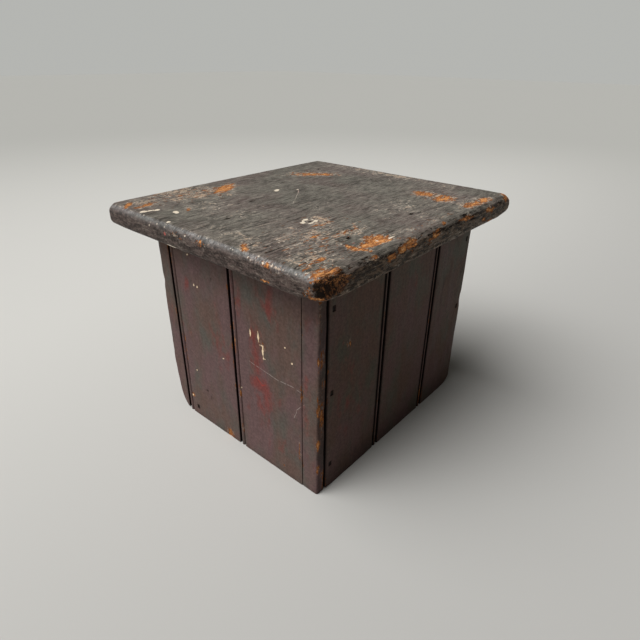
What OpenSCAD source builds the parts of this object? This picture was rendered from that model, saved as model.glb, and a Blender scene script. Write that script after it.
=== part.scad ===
// Small box stool: one thick seat board on four walls of beaded match boards,
// nailed to corner posts and cleats inside. The box is open underneath.
// Millimetres. +Z is up, the front wall faces -Y, and the origin lies on the
// floor under the middle of the seat board.

/* [Seat board] */
// Length of the seat board, front to back, along its grain
seat_l = 294; // [250:1:340]
// Width of the seat board, left to right
seat_w = 262; // [220:1:310]
// Thickness of the seat board
seat_t = 19; // [15:0.5:28]
// Radius of the seat board's corners, seen from above
seat_corner_r = 9; // [8:0.5:20]
// Radius worn on the seat board's upper edge
seat_top_r = 6.5; // [1:0.5:8]
// Radius of the seat board's lower edge
seat_under_r = 3.5; // [1:0.5:6]

/* [Box] */
// Height of the four walls, from the floor to the seat board
wall_h = 206; // [150:1:320]
// Overhang of the seat board past the front wall
over_front = 29; // [10:1:40]
// Overhang of the seat board past the rear of the box
over_back = 25; // [10:1:40]
// Overhang of the seat board past the left wall
over_left = 31; // [10:1:40]
// Overhang of the seat board past the right wall
over_right = 27; // [10:1:40]
// Open gap between the front wall's inner face and the side walls' ends
corner_gap = 2.5; // [0.3:0.1:4]

/* [Match boards] */
// Thickness of the match boards
board_t = 8; // [7:0.5:12]
// Width of the narrow strip at each end of the front wall
front_strip_w = 18; // [15:0.5:30]
// Width of the foremost board of each side wall
side_first_w = 79.3; // [55:0.1:95]
// Width of the open joint beside each bead
joint_gap = 2.2; // [0.4:0.1:3]
// Width of the tight joint beside the front wall's last strip
tight_gap = 0.6; // [0.2:0.1:1.5]
// Width of the round bead along a board's edge
bead_w = 4.4; // [3:0.1:6]
// Width of the quirk, the fine groove beside the bead
quirk_w = 1.4; // [0.6:0.1:2.5]
// Depth of a tongue's front face below the face of the board
tongue_depth = 3.2; // [3:0.1:4]
// Thickness of a tongue
tongue_t = 2.4; // [1.6:0.1:2.6]
// How far a tongue reaches into the next board's groove
tongue_reach = 2.8; // [1.5:0.1:4]
// Clearance round a tongue in its groove
tongue_clear = 0.25; // [0.1:0.05:0.35]
// Radius of the outer upright edges of the front wall
arris_r = 2; // [0.5:0.1:3]

/* [Worn feet] */
// Width of the wear at the front wall's lower left corner
left_wear_w = 20; // [4:0.5:30]
// Height of the wear at the front wall's lower left corner
left_wear_h = 60; // [4:1:80]
// Width of the wear at the front wall's lower right corner
right_wear_w = 28; // [4:0.5:35]
// Height of the wear at the front wall's lower right corner
right_wear_h = 8; // [1:0.5:20]
// Width of the wear at the right wall's lower front corner
side_wear_w = 12; // [4:0.5:35]
// Height of the wear at the right wall's lower front corner
side_wear_h = 2; // [1:0.5:12]
// Width of the wear at the other lower corners of the side walls
rear_wear_w = 20; // [4:0.5:30]
// Height of the wear at the other lower corners of the side walls
rear_wear_h = 14; // [2:0.5:30]

/* [Inner frame] */
// Side of the square corner posts
post_side = 18; // [14:0.5:24]
// Height at which the posts end above the floor, clear of the worn corners
post_lift = 16; // [0:1:20]
// Thickness of the cleats, measured inwards from the wall
cleat_t = 14; // [11:0.5:20]
// Height of the cleats
cleat_h = 20; // [14:0.5:30]

/* [Nails] */
// Width of a cut nail's head
head_w = 3; // [2.4:0.1:4]
// Length of a cut nail's head
head_l = 4.5; // [3:0.1:6]
// Thickness of a cut nail's head
head_t = 1.2; // [0.8:0.1:2]
// Width of the shank under the head
shank_w = 2.2; // [1.4:0.1:2.4]
// Width of the shank at its blunt tip
tip_w = 1; // [0.6:0.1:1.4]
// Thickness of the shank, the same from head to tip
shank_t = 1.8; // [1.2:0.1:2.2]
// Depth of the heads below the surface of the wood
nail_set = 1; // [0.2:0.1:1.8]
// Clearance between a nail and the wood
nail_clear = 0.05; // [0.02:0.01:0.1]
// Length of the nails in the walls
wall_nail_l = 19; // [14:0.5:19]
// Length of the nails in the seat board
seat_nail_l = 34; // [30:0.5:36]
// Distance of a nail from the long edge of a whole match board
board_nail_inset = 15; // [8:0.5:25]
// Distance of the front strips' nails from the box's side faces
strip_nail_inset = 10.5; // [10:0.1:12]
// Height of the lowest post nail, and the highest one's depth below the seat
post_nail_end = 26; // [22:0.5:45]
// Distance of the seat nails from the side walls' inner faces
seat_nail_inset = 3; // [2.5:0.1:8]
// Distance of the foremost seat nails from the front of the box
seat_nail_first = 45; // [35:0.5:70]
// Distance of the rearmost seat nails from the rear ends of the side cleats
seat_nail_last = 2.5; // [2.4:0.1:20]

/* [Hidden] */
$fn = 48;

// A cutter runs this far past the surface that it opens
past = 1;
// Straight steps that follow each worn corner's curve
wear_steps = 10;

// The box under the seat board
x_left = over_left - seat_w / 2;
x_right = seat_w / 2 - over_right;
y_front = over_front - seat_l / 2;
y_rear = seat_l / 2 - over_back;
box_w = x_right - x_left;
box_d = y_rear - y_front;

// Each wall is drawn flat: u runs along it, v goes in from its face, z is up
side_l = box_d - board_t - corner_gap;
back_w = box_w - 2 * board_t - 2 * post_side;

// Two whole boards fill the front between the strips, and set the cover width
cover_w = (box_w - 2 * front_strip_w) / 2;
back_strip_w = (back_w - cover_w) / 2;

// Where each board starts and ends along its wall
front_spans = [
    [0, front_strip_w - joint_gap / 2],
    [front_strip_w + joint_gap / 2, front_strip_w + cover_w - joint_gap / 2],
    [front_strip_w + cover_w + joint_gap / 2, box_w - front_strip_w - tight_gap / 2],
    [box_w - front_strip_w + tight_gap / 2, box_w]
];
side_spans = [
    [0, side_first_w - joint_gap / 2],
    [side_first_w + joint_gap / 2, side_first_w + cover_w - joint_gap / 2],
    [side_first_w + cover_w + joint_gap / 2, side_l]
];
back_spans = [
    [0, back_strip_w - joint_gap / 2],
    [back_strip_w + joint_gap / 2, back_strip_w + cover_w - joint_gap / 2],
    [back_strip_w + cover_w + joint_gap / 2, back_w]
];

// Heights of the nails that go into posts and into cleats
post_nail_z = [post_nail_end, wall_h / 2, wall_h - post_nail_end];
strip_nail_z = [(post_nail_z[0] + post_nail_z[1]) / 2, (post_nail_z[1] + post_nail_z[2]) / 2];
cleat_nail_z = [cleat_h / 2, wall_h - cleat_h / 2];

// The two nail rows of a whole board, in from both of its edges
function board_rows(span) = [span[0] + board_nail_inset, span[1] - board_nail_inset];

function middle(span) = (span[0] + span[1]) / 2;

// Nails of each wall as places [u, z] on its face
front_nail_spots = concat(
    [for (u = [strip_nail_inset, box_w - strip_nail_inset], z = strip_nail_z) [u, z]],
    [for (i = [1, 2], u = board_rows(front_spans[i]), z = cleat_nail_z) [u, z]]
);
side_nail_spots = concat(
    [for (u = [post_side / 2 - corner_gap, side_l - post_side / 2], z = post_nail_z) [u, z]],
    [for (z = cleat_nail_z) [board_rows(side_spans[0])[1], z]],
    [for (u = board_rows(side_spans[1]), z = cleat_nail_z) [u, z]],
    [for (z = cleat_nail_z) [board_rows(side_spans[2])[0], z]]
);
back_nail_spots = concat(
    [for (u = board_rows(back_spans[1]), z = cleat_nail_z) [u, z]],
    [for (i = [0, 2], z = cleat_nail_z) [middle(back_spans[i]), z]]
);

// Seat nails as places [x, y], three down each side cleat
cleat_y_front = y_front + board_t + post_side;
cleat_y_rear = y_rear - post_side;
seat_nail_y_front = y_front + seat_nail_first;
seat_nail_y_rear = cleat_y_rear - seat_nail_last;
seat_nail_spots = [
    for (
        x = [x_left + board_t + seat_nail_inset, x_right - board_t - seat_nail_inset],
        y = [seat_nail_y_front, (seat_nail_y_front + seat_nail_y_rear) / 2, seat_nail_y_rear]
    ) [x, y]
];

// Points of a worn corner at the origin, cut away with an elliptical curve
function worn_corner(w, h) = concat(
    [[-past, h], [-past, -past], [w, -past]],
    [for (k = [0 : wear_steps]) let (a = 90 * k / wear_steps) [w * (1 - sin(a)), h * (1 - cos(a))]]
);

// Places a wall's drawing on its side of the box
module on_front() { translate([x_left, y_front, 0]) children(); }
module on_right() { translate([x_right, y_rear - side_l, 0]) rotate([0, 0, 90]) children(); }
module on_left() { translate([x_left + x_right, 0, 0]) mirror([1, 0, 0]) on_right() children(); }
module on_back() { translate([x_right - board_t - post_side, y_rear, 0]) rotate([0, 0, 180]) children(); }

// A cut nail with its head's top at the origin, driven along -Z
module cut_nail(length, grow = 0) {
    translate([0, 0, -head_t / 2])
        cube([head_w + 2 * grow, head_l + 2 * grow, head_t + 2 * grow], center = true);
    translate([0, 0, -head_t])
        rotate([90, 0, 0])
        linear_extrude(height = shank_t + 2 * grow, center = true)
        polygon([
            [-shank_w / 2 - grow, 0],
            [-tip_w / 2 - grow, head_t - length - grow],
            [tip_w / 2 + grow, head_t - length - grow],
            [shank_w / 2 + grow, 0]
        ]);
}

// The hole that a nail's head and shank leave, open to the surface at z = 0
module nail_hole(length) {
    translate([0, 0, -nail_set]) cut_nail(length, nail_clear);
    translate([0, 0, (past - nail_set) / 2])
        cube([head_w + 2 * nail_clear, head_l + 2 * nail_clear, nail_set + past], center = true);
}

// Turns a nail from -Z into a wall's face
module into_face() { rotate([90, 0, 0]) children(); }

module wall_nails(spots) {
    for (s = spots)
        translate([s[0], nail_set, s[1]]) into_face() cut_nail(wall_nail_l);
}

module wall_nail_holes(spots) {
    for (s = spots)
        translate([s[0], 0, s[1]]) into_face() nail_hole(wall_nail_l);
}

module seat_nail_holes() {
    for (s = seat_nail_spots)
        translate([s[0], s[1], wall_h + seat_t]) nail_hole(seat_nail_l);
}

// Half of the seat board's edge, drawn outwards from a corner's centre line
module seat_edge() {
    r = seat_corner_r;
    intersection() {
        square([r, seat_t]);
        union() {
            square([r - seat_top_r, seat_t]);
            square([r - seat_under_r, seat_t - seat_top_r]);
            translate([0, seat_under_r]) square([r, seat_t - seat_under_r - seat_top_r]);
            translate([r - seat_under_r, seat_under_r]) circle(r = seat_under_r);
            translate([r - seat_top_r, seat_t - seat_top_r]) circle(r = seat_top_r);
        }
    }
}

// The seat board's corners and rounded edges, round a plain middle
module seat_blank() {
    half_w = seat_w / 2 - seat_corner_r;
    half_l = seat_l / 2 - seat_corner_r;
    translate([-half_w, -half_l, 0]) cube([2 * half_w, 2 * half_l, seat_t]);
    for (side = [0, 1]) rotate([0, 0, 180 * side]) {
        translate([half_w, half_l, 0]) rotate_extrude(angle = 90) seat_edge();
        translate([-half_w, half_l, 0]) rotate([0, 0, 90]) rotate_extrude(angle = 90) seat_edge();
        translate([half_w, half_l, 0]) rotate([90, 0, 0])
            linear_extrude(height = 2 * half_l) seat_edge();
        translate([-half_w, half_l, 0]) rotate([90, 0, 90])
            linear_extrude(height = 2 * half_w) seat_edge();
    }
}

// Section of a match board with its bead and tongue at u = 0
module beaded_section(w) {
    shelf = bead_w / 2;
    translate([bead_w + quirk_w, 0]) square([w - bead_w - quirk_w, board_t]);
    translate([0, shelf]) square([w, board_t - shelf]);
    translate([shelf, shelf]) circle(d = bead_w);
    translate([-joint_gap - tongue_reach, tongue_depth])
        square([joint_gap + tongue_reach + bead_w, tongue_t]);
}

// The groove that takes the next board's tongue, at the board's edge u = w
module groove_section(w) {
    depth = tongue_reach + tongue_clear;
    translate([w - depth, tongue_depth - tongue_clear])
        square([depth + past, tongue_t + 2 * tongue_clear]);
}

// A match board w wide. Its bead, if it has one, is at u = 0 and its groove at u = w
module match_board(w, bead, groove) {
    linear_extrude(height = wall_h)
        difference() {
            if (bead) beaded_section(w);
            else square([w, board_t]);
            if (groove) groove_section(w);
        }
}

// The same board turned end for end, with its bead at u = w
module match_board_turned(w, bead, groove) {
    translate([w, 0, 0]) mirror([1, 0, 0]) match_board(w, bead, groove);
}

// Rounds the outer upright edge of a board that starts at u = 0
module arris_cutter() {
    translate([0, 0, -past])
        linear_extrude(height = wall_h + 2 * past)
        difference() {
            translate([-past, -past]) square(arris_r + past);
            translate([arris_r, arris_r]) circle(r = arris_r);
        }
}

// Cuts a worn lower corner through a wall that starts at u = 0
module wear_cutter(w, h) {
    translate([0, board_t + past, 0])
        rotate([90, 0, 0])
        linear_extrude(height = board_t + 2 * past)
        polygon(worn_corner(w, h));
}

// The same cutters at a wall's far end
module from_end(l) { translate([l, 0, 0]) mirror([1, 0, 0]) children(); }

module front_board(i) {
    span = front_spans[i];
    color("#58453f")
        on_front()
        difference() {
            translate([span[0], 0, 0]) match_board(span[1] - span[0], i == 1 || i == 2, i < 3);
            if (i == 0) arris_cutter();
            if (i == 3) from_end(box_w) arris_cutter();
            wear_cutter(left_wear_w, left_wear_h);
            from_end(box_w) wear_cutter(right_wear_w, right_wear_h);
            wall_nail_holes(front_nail_spots);
        }
}

// A side wall's board: the near corner's wear is shallower than the others
module side_board(i, front_wear_w, front_wear_h) {
    span = side_spans[i];
    difference() {
        translate([span[0], 0, 0]) match_board_turned(span[1] - span[0], i < 2, i > 0);
        wear_cutter(front_wear_w, front_wear_h);
        from_end(side_l) wear_cutter(rear_wear_w, rear_wear_h);
        wall_nail_holes(side_nail_spots);
    }
}

module right_board(i) {
    color("#3a302c") on_right() side_board(i, side_wear_w, side_wear_h);
}

module left_board(i) {
    color("#4a3a35") on_left() side_board(i, rear_wear_w, rear_wear_h);
}

module back_board(i) {
    span = back_spans[i];
    color("#4a3a35")
        on_back()
        difference() {
            translate([span[0], 0, 0]) match_board(span[1] - span[0], i > 0, i < 2);
            wall_nail_holes(back_nail_spots);
        }
}

module seat_board() {
    color("#4b4541")
        difference() {
            translate([0, 0, wall_h]) seat_blank();
            seat_nail_holes();
        }
}

// A post inside one corner of the box, from just above the floor to the seat
module corner_post(x, y) {
    translate([x, y, post_lift]) cube([post_side, post_side, wall_h - post_lift]);
}

module post_front_left() {
    color("#8a6a48")
        difference() {
            corner_post(x_left + board_t, y_front + board_t);
            on_front() wall_nail_holes(front_nail_spots);
            on_left() wall_nail_holes(side_nail_spots);
        }
}

module post_front_right() {
    color("#8a6a48")
        difference() {
            corner_post(x_right - board_t - post_side, y_front + board_t);
            on_front() wall_nail_holes(front_nail_spots);
            on_right() wall_nail_holes(side_nail_spots);
        }
}

module post_rear_left() {
    color("#8a6a48")
        difference() {
            corner_post(x_left + board_t, y_rear - post_side);
            on_left() wall_nail_holes(side_nail_spots);
        }
}

module post_rear_right() {
    color("#8a6a48")
        difference() {
            corner_post(x_right - board_t - post_side, y_rear - post_side);
            on_right() wall_nail_holes(side_nail_spots);
        }
}

// A cleat along the inside of the front wall, between the posts
module cleat_front(z) {
    color("#94734e")
        difference() {
            translate([x_left + board_t + post_side, y_front + board_t, z])
                cube([back_w, cleat_t, cleat_h]);
            on_front() wall_nail_holes(front_nail_spots);
        }
}

// A cleat along the inside of the back wall, between the posts
module cleat_back(z) {
    color("#94734e")
        difference() {
            translate([x_left + board_t + post_side, y_rear - board_t - cleat_t, z])
                cube([back_w, cleat_t, cleat_h]);
            on_back() wall_nail_holes(back_nail_spots);
        }
}

// A side wall's cleat, in the wall's own flat drawing
module side_cleat(z) {
    start = cleat_y_front - y_rear + side_l;
    difference() {
        translate([start, board_t, z]) cube([cleat_y_rear - cleat_y_front, cleat_t, cleat_h]);
        wall_nail_holes(side_nail_spots);
    }
}

module cleat_left(z) {
    color("#94734e")
        difference() {
            on_left() side_cleat(z);
            seat_nail_holes();
        }
}

module cleat_right(z) {
    color("#94734e")
        difference() {
            on_right() side_cleat(z);
            seat_nail_holes();
        }
}

module seat_nails() {
    color("#3b342f")
        for (s = seat_nail_spots)
            translate([s[0], s[1], wall_h + seat_t - nail_set]) cut_nail(seat_nail_l);
}

module front_wall_nails() { color("#3b342f") on_front() wall_nails(front_nail_spots); }
module right_wall_nails() { color("#3b342f") on_right() wall_nails(side_nail_spots); }
module left_wall_nails() { color("#3b342f") on_left() wall_nails(side_nail_spots); }
module back_wall_nails() { color("#3b342f") on_back() wall_nails(back_nail_spots); }

seat_board();
front_board(0);  // front_board_1
front_board(1);  // front_board_2
front_board(2);  // front_board_3
front_board(3);  // front_board_4
right_board(0);  // right_board_1
right_board(1);  // right_board_2
right_board(2);  // right_board_3
left_board(0);  // left_board_1
left_board(1);  // left_board_2
left_board(2);  // left_board_3
back_board(0);  // back_board_1
back_board(1);  // back_board_2
back_board(2);  // back_board_3
post_front_left();
post_front_right();
post_rear_left();
post_rear_right();
cleat_front(wall_h - cleat_h);  // top_cleat_front
cleat_back(wall_h - cleat_h);  // top_cleat_back
cleat_left(wall_h - cleat_h);  // top_cleat_left
cleat_right(wall_h - cleat_h);  // top_cleat_right
cleat_front(0);  // bottom_cleat_front
cleat_back(0);  // bottom_cleat_back
cleat_left(0);  // bottom_cleat_left
cleat_right(0);  // bottom_cleat_right
seat_nails();
front_wall_nails();
right_wall_nails();
left_wall_nails();
back_wall_nails();
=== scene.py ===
"""Looks of a small box stool: one thick, worn seat board on a box of beaded match boards.

The construction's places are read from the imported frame, in metres. Pieces are shaped on
the bench in millimetres and scaled once, when they are finished. +Z is up, the front wall
faces -Y, and the seat board's grain runs along Y.
"""

import logging
import math
from collections.abc import Callable, Iterable
from dataclasses import dataclass, field
from enum import Enum

import bmesh
import bpy
import numpy as np
from mathutils import Matrix, Quaternion, Vector, noise


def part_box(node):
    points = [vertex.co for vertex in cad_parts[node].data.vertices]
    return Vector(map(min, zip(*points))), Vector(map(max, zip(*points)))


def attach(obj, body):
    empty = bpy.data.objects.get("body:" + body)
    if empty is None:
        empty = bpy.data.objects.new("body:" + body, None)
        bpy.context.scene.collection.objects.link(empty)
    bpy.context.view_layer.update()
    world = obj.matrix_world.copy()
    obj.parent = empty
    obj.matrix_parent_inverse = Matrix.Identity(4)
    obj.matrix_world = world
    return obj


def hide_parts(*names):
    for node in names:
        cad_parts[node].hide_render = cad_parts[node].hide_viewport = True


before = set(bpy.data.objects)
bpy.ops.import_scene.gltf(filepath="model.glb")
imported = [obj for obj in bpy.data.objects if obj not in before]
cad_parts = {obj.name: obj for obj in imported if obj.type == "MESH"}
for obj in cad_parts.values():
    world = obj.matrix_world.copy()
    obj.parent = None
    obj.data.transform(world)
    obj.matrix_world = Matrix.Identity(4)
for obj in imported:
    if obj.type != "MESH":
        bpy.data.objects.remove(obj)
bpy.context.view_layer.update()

LOG = logging.getLogger("box_stool")
MM = 0.001
# Half the width and half the length of the hole above a nail's head, and its depth
NAIL_HOLE_HALF = (1.6, 2.35)
NAIL_HOLE_DEPTH = 1.18
# How far apart two places may lie and still count as the same
TOUCH = 0.01
SEAT_TOP = 225.0
Triple = tuple[float, float, float]
Wire = bpy.types.NodeSocket | float | Triple


class Axis(Enum):
    """One of the three axes, as an index into a point."""

    X = 0
    Y = 1
    Z = 2

    def vector(self) -> Vector:
        """The axis as a unit vector."""
        return Vector([1.0 if self.value == i else 0.0 for i in range(3)])


class Wear(Enum):
    """What age does to a surface, and the painted shade and painted highlight that two of its marks also
    carry. Each value is the name of the attribute that carries it.
    """

    BARE = "bare_wood"
    RUB = "rubbed_paint"
    # Dirt, soot and dark holes, and also painted shade on the seat board's right side and edge and painted
    # shade and shadow on the walls
    GRIME_AND_SHADE = "grime_and_shade"
    TINT = "red_tint"
    CREAM = "cream_paint"
    ROT = "rotten_wood"
    UPPER = "upper_face"
    # A gloss coat on the seat board's front and left arrises, and also a painted bluish highlight laid into
    # their colour
    POLISH_AND_HIGHLIGHT = "polish_and_highlight"


def smooth_step(low: float, high: float, values: np.ndarray) -> np.ndarray:
    """Values eased from 0 at low to 1 at high."""
    t = np.clip((values - low) / (high - low), 0.0, 1.0)
    return t * t * (3.0 - 2.0 * t)


def rough(points: np.ndarray, grain: Triple, octaves: int = 3, seed: float = 0.0) -> np.ndarray:
    """Repeatable fractal noise at each point.

    Args:
        points: Places in millimetres, one a row.
        grain: Size of the largest bumps along each axis, in millimetres.
        octaves: Layers of ever finer bumps.
        seed: Moves the pattern, so that two of them don't agree.

    Returns:
        One value a point, from about -1 to 1.
    """
    scaled = points / np.array(grain) + seed
    return np.array([noise.fractal(p, 1.0, 2.0, octaves) for p in scaled])


@dataclass(frozen=True)
class Patch:
    """A worn place on a surface: an ellipsoid in millimetres, turned about Z."""

    place: Triple
    half: Triple
    turn: float = 0.0
    chip: float = 0.0
    strength: float = 1.0

    def amount(self, points: np.ndarray) -> np.ndarray:
        """How deep inside the patch each point lies.

        Args:
            points: Places in millimetres, one a row.

        Returns:
            One value a point: the strength in the middle, half of it on the outline.
        """
        c, s = math.cos(math.radians(self.turn)), math.sin(math.radians(self.turn))
        away = points - np.array(self.place)
        x = (away[:, 0] * c + away[:, 1] * s) / self.half[0]
        y = (away[:, 1] * c - away[:, 0] * s) / self.half[1]
        z = away[:, 2] / self.half[2]
        return self.strength * np.clip(1.0 - 0.5 * np.sqrt(x * x + y * y + z * z), 0.0, 1.0)


@dataclass(frozen=True)
class Scratch:
    """A hairline from one place to another, in millimetres."""

    start: Triple
    end: Triple
    width: float = 0.5
    tone: Triple = (0.42, 0.36, 0.30)
    strength: float = 0.7


@dataclass
class Weather:
    """What age has done to every point of a piece."""

    points: np.ndarray
    normals: np.ndarray
    depth: np.ndarray = field(init=False)
    shift: np.ndarray = field(init=False)
    marks: dict[Wear, np.ndarray] = field(init=False)

    def __post_init__(self) -> None:
        """Starts with no wear anywhere."""
        self.depth = np.zeros(len(self.points))
        self.shift = np.zeros((len(self.points), 3))
        self.marks = {kind: np.zeros(len(self.points)) for kind in Wear}

    def raise_mark(self, kind: Wear, amount: np.ndarray) -> None:
        """Lifts a mark to an amount wherever it is still lower."""
        self.marks[kind] = np.maximum(self.marks[kind], amount)

    def add_patches(self, kind: Wear, patches: Iterable[Patch], ragged: np.ndarray) -> None:
        """Adds worn places, with ragged outlines and the wood lost in them.

        Args:
            kind: The mark that the patches leave.
            patches: The worn places.
            ragged: Noise that moves each point in or out of a patch.
        """
        for patch in patches:
            inside = patch.amount(self.points)
            near = np.where(inside > 0.0, inside + ragged, 0.0)
            self.raise_mark(kind, np.clip(near, 0.0, 1.0))
            self.depth += patch.chip * smooth_step(0.38, 0.72, near)
            if kind is Wear.BARE:
                self.raise_mark(Wear.RUB, 0.8 * smooth_step(0.02, 0.5, near))

    def sink_nail(self, place: Triple, across: int, along: int) -> None:
        """Opens the hole above a cut nail's head, which is longer than it is wide.

        Args:
            place: The head's middle.
            across: Index of the axis that the head's width lies along.
            along: Index of the axis that the head's length lies along.
        """
        away = np.abs(self.points - np.array(place))
        reach = np.maximum(away[:, across] / NAIL_HOLE_HALF[0], away[:, along] / NAIL_HOLE_HALF[1])
        facing = 3 - across - along
        reach = np.where(away[:, facing] < 2.0, reach, 9.0)
        hole = 1.0 - smooth_step(0.95, 1.12, reach)
        self.depth = self.depth * (1.0 - hole) + NAIL_HOLE_DEPTH * hole
        self.raise_mark(Wear.GRIME_AND_SHADE, 1.0 - smooth_step(0.95, 1.25, reach))
        self.marks[Wear.BARE] *= 1.0 - hole


@dataclass
class Workpiece:
    """A solid on the bench: a bmesh in millimetres that is cut, worn and then finished."""

    mesh: bmesh.types.BMesh

    @classmethod
    def block(cls, low: Vector, high: Vector) -> "Workpiece":
        """A plain block.

        Args:
            low: Its lowest corner.
            high: Its highest corner.

        Returns:
            The block, ready to be shaped.
        """
        mesh = bmesh.new()
        bmesh.ops.create_cube(mesh, size=1.0)
        bmesh.ops.scale(mesh, vec=high - low, verts=mesh.verts[:])
        bmesh.ops.translate(mesh, vec=(low + high) / 2, verts=mesh.verts[:])
        return cls(mesh)

    def round_off(self, parts: list, radius: float, segments: int, affect: str = "EDGES") -> None:
        """Rounds edges of the solid, or corners of a flat section.

        Args:
            parts: The edges or corners. Without any, nothing happens.
            radius: Radius of the rounding.
            segments: Facets round it.
            affect: EDGES or VERTICES.
        """
        if parts:
            bmesh.ops.bevel(
                self.mesh, geom=parts, offset=radius, offset_type="OFFSET", segments=segments,
                profile=0.5, affect=affect, material=-1, clamp_overlap=False,
            )

    def slice_at(
        self, axis: Axis, places: Iterable[float], near: tuple[Vector, float] | None = None
    ) -> None:
        """Cuts new edges across the solid, so that wear has points to move.

        Args:
            axis: The axis that the cutting planes stand square to.
            places: Where they stand along it.
            near: A middle and a reach. Only faces within it are cut.
        """
        for place in places:
            if near is None:
                geom = self.mesh.verts[:] + self.mesh.edges[:] + self.mesh.faces[:]
            else:
                faces = [f for f in self.mesh.faces if (f.calc_center_median() - near[0]).length < near[1]]
                geom = list(dict.fromkeys(v for f in faces for v in f.verts))
                geom += list(dict.fromkeys(e for f in faces for e in f.edges)) + faces
            bmesh.ops.bisect_plane(
                self.mesh, geom=geom, dist=1e-4, plane_co=axis.vector() * place, plane_no=axis.vector()
            )

    def grid(self, axis: Axis, low: float, high: float, step: float) -> None:
        """Slices evenly between two places, about one step apart."""
        count = max(1, round((high - low) / step))
        self.slice_at(axis, [low + (high - low) * k / count for k in range(1, count)])

    def refine(
        self, place: Triple, axes: tuple[Axis, Axis], reach: float = 4.2, step: float = 0.6
    ) -> None:
        """Slices finely round one place, where a nail's hole is sunk.

        Args:
            place: The middle.
            axes: The two axes that its slices stand square to.
            reach: Half the width of the fine part.
            step: Distance between its slices.
        """
        middle = Vector(place)
        count = round(reach / step)
        for axis in axes:
            rows = [middle[axis.value] + step * (k + 0.5) for k in range(-count, count)]
            self.slice_at(axis, rows, near=(middle, 1.5 * reach))

    def cut_off(self, point: Vector, outward: Vector) -> None:
        """Takes away what lies beyond a plane, and closes the cut.

        Args:
            point: Any point of the plane.
            outward: Its normal, which points at what is taken away.
        """
        geom = self.mesh.verts[:] + self.mesh.edges[:] + self.mesh.faces[:]
        made = bmesh.ops.bisect_plane(
            self.mesh, geom=geom, dist=1e-4, plane_co=point, plane_no=outward, clear_outer=True
        )
        rim = [e for e in made["geom_cut"] if isinstance(e, bmesh.types.BMEdge)]
        bmesh.ops.holes_fill(self.mesh, edges=rim, sides=0)

    def look_over(self) -> Weather:
        """Reads every point and normal.

        Returns:
            The points in their order, with no wear yet.
        """
        bmesh.ops.recalc_face_normals(self.mesh, faces=self.mesh.faces[:])
        self.mesh.normal_update()
        points = np.array([v.co for v in self.mesh.verts], float)
        normals = np.array([v.normal for v in self.mesh.verts], float)
        return Weather(points, normals)

    def wear_down(self, weather: Weather) -> None:
        """Moves each point inwards by its wear, and stores the marks as attributes.

        Args:
            weather: The wear of this solid's points, in their order.
        """
        moved = weather.points - weather.normals * np.maximum(weather.depth, 0.0)[:, None] + weather.shift
        moved = np.clip(moved, weather.points.min(0), weather.points.max(0))
        layers = {kind: self.mesh.verts.layers.float.new(kind.value) for kind in Wear}
        for i, vert in enumerate(self.mesh.verts):
            vert.co = moved[i]
            for kind, layer in layers.items():
                vert[layer] = float(weather.marks[kind][i])

    def finish(
        self,
        node: str,
        ending: str,
        slot: str,
        materials: list[bpy.types.Material],
        choose: Callable[[bmesh.types.BMFace], int],
        crease: float = 38.0,
    ) -> bpy.types.Object:
        """Turns the solid into a Blender object in place of its construction node.

        Args:
            node: The node's name.
            ending: What the object's name adds to it.
            slot: The node's material slot. It is not used.
            materials: The object's materials.
            choose: Gives the number of the material that a face takes.
            crease: Angle in degrees above which an edge stays crisp.

        Returns:
            The object, at the origin, with its place in its mesh.
        """
        for face in self.mesh.faces:
            face.smooth = True
            face.material_index = choose(face)
        bmesh.ops.scale(self.mesh, vec=(MM, MM, MM), verts=self.mesh.verts[:])
        data = bpy.data.meshes.new(node + ending)
        self.mesh.to_mesh(data)
        self.mesh.free()
        data.set_sharp_from_angle(angle=math.radians(crease))
        for material in materials:
            data.materials.append(material)
        made = bpy.data.objects.new(node + ending, data)
        bpy.context.scene.collection.objects.link(made)
        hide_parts(node)
        return made


def box_mm(node: str) -> tuple[Vector, Vector]:
    """A construction node's lowest and highest corners, in millimetres."""
    low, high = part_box(node)
    return low / MM, high / MM


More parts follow.
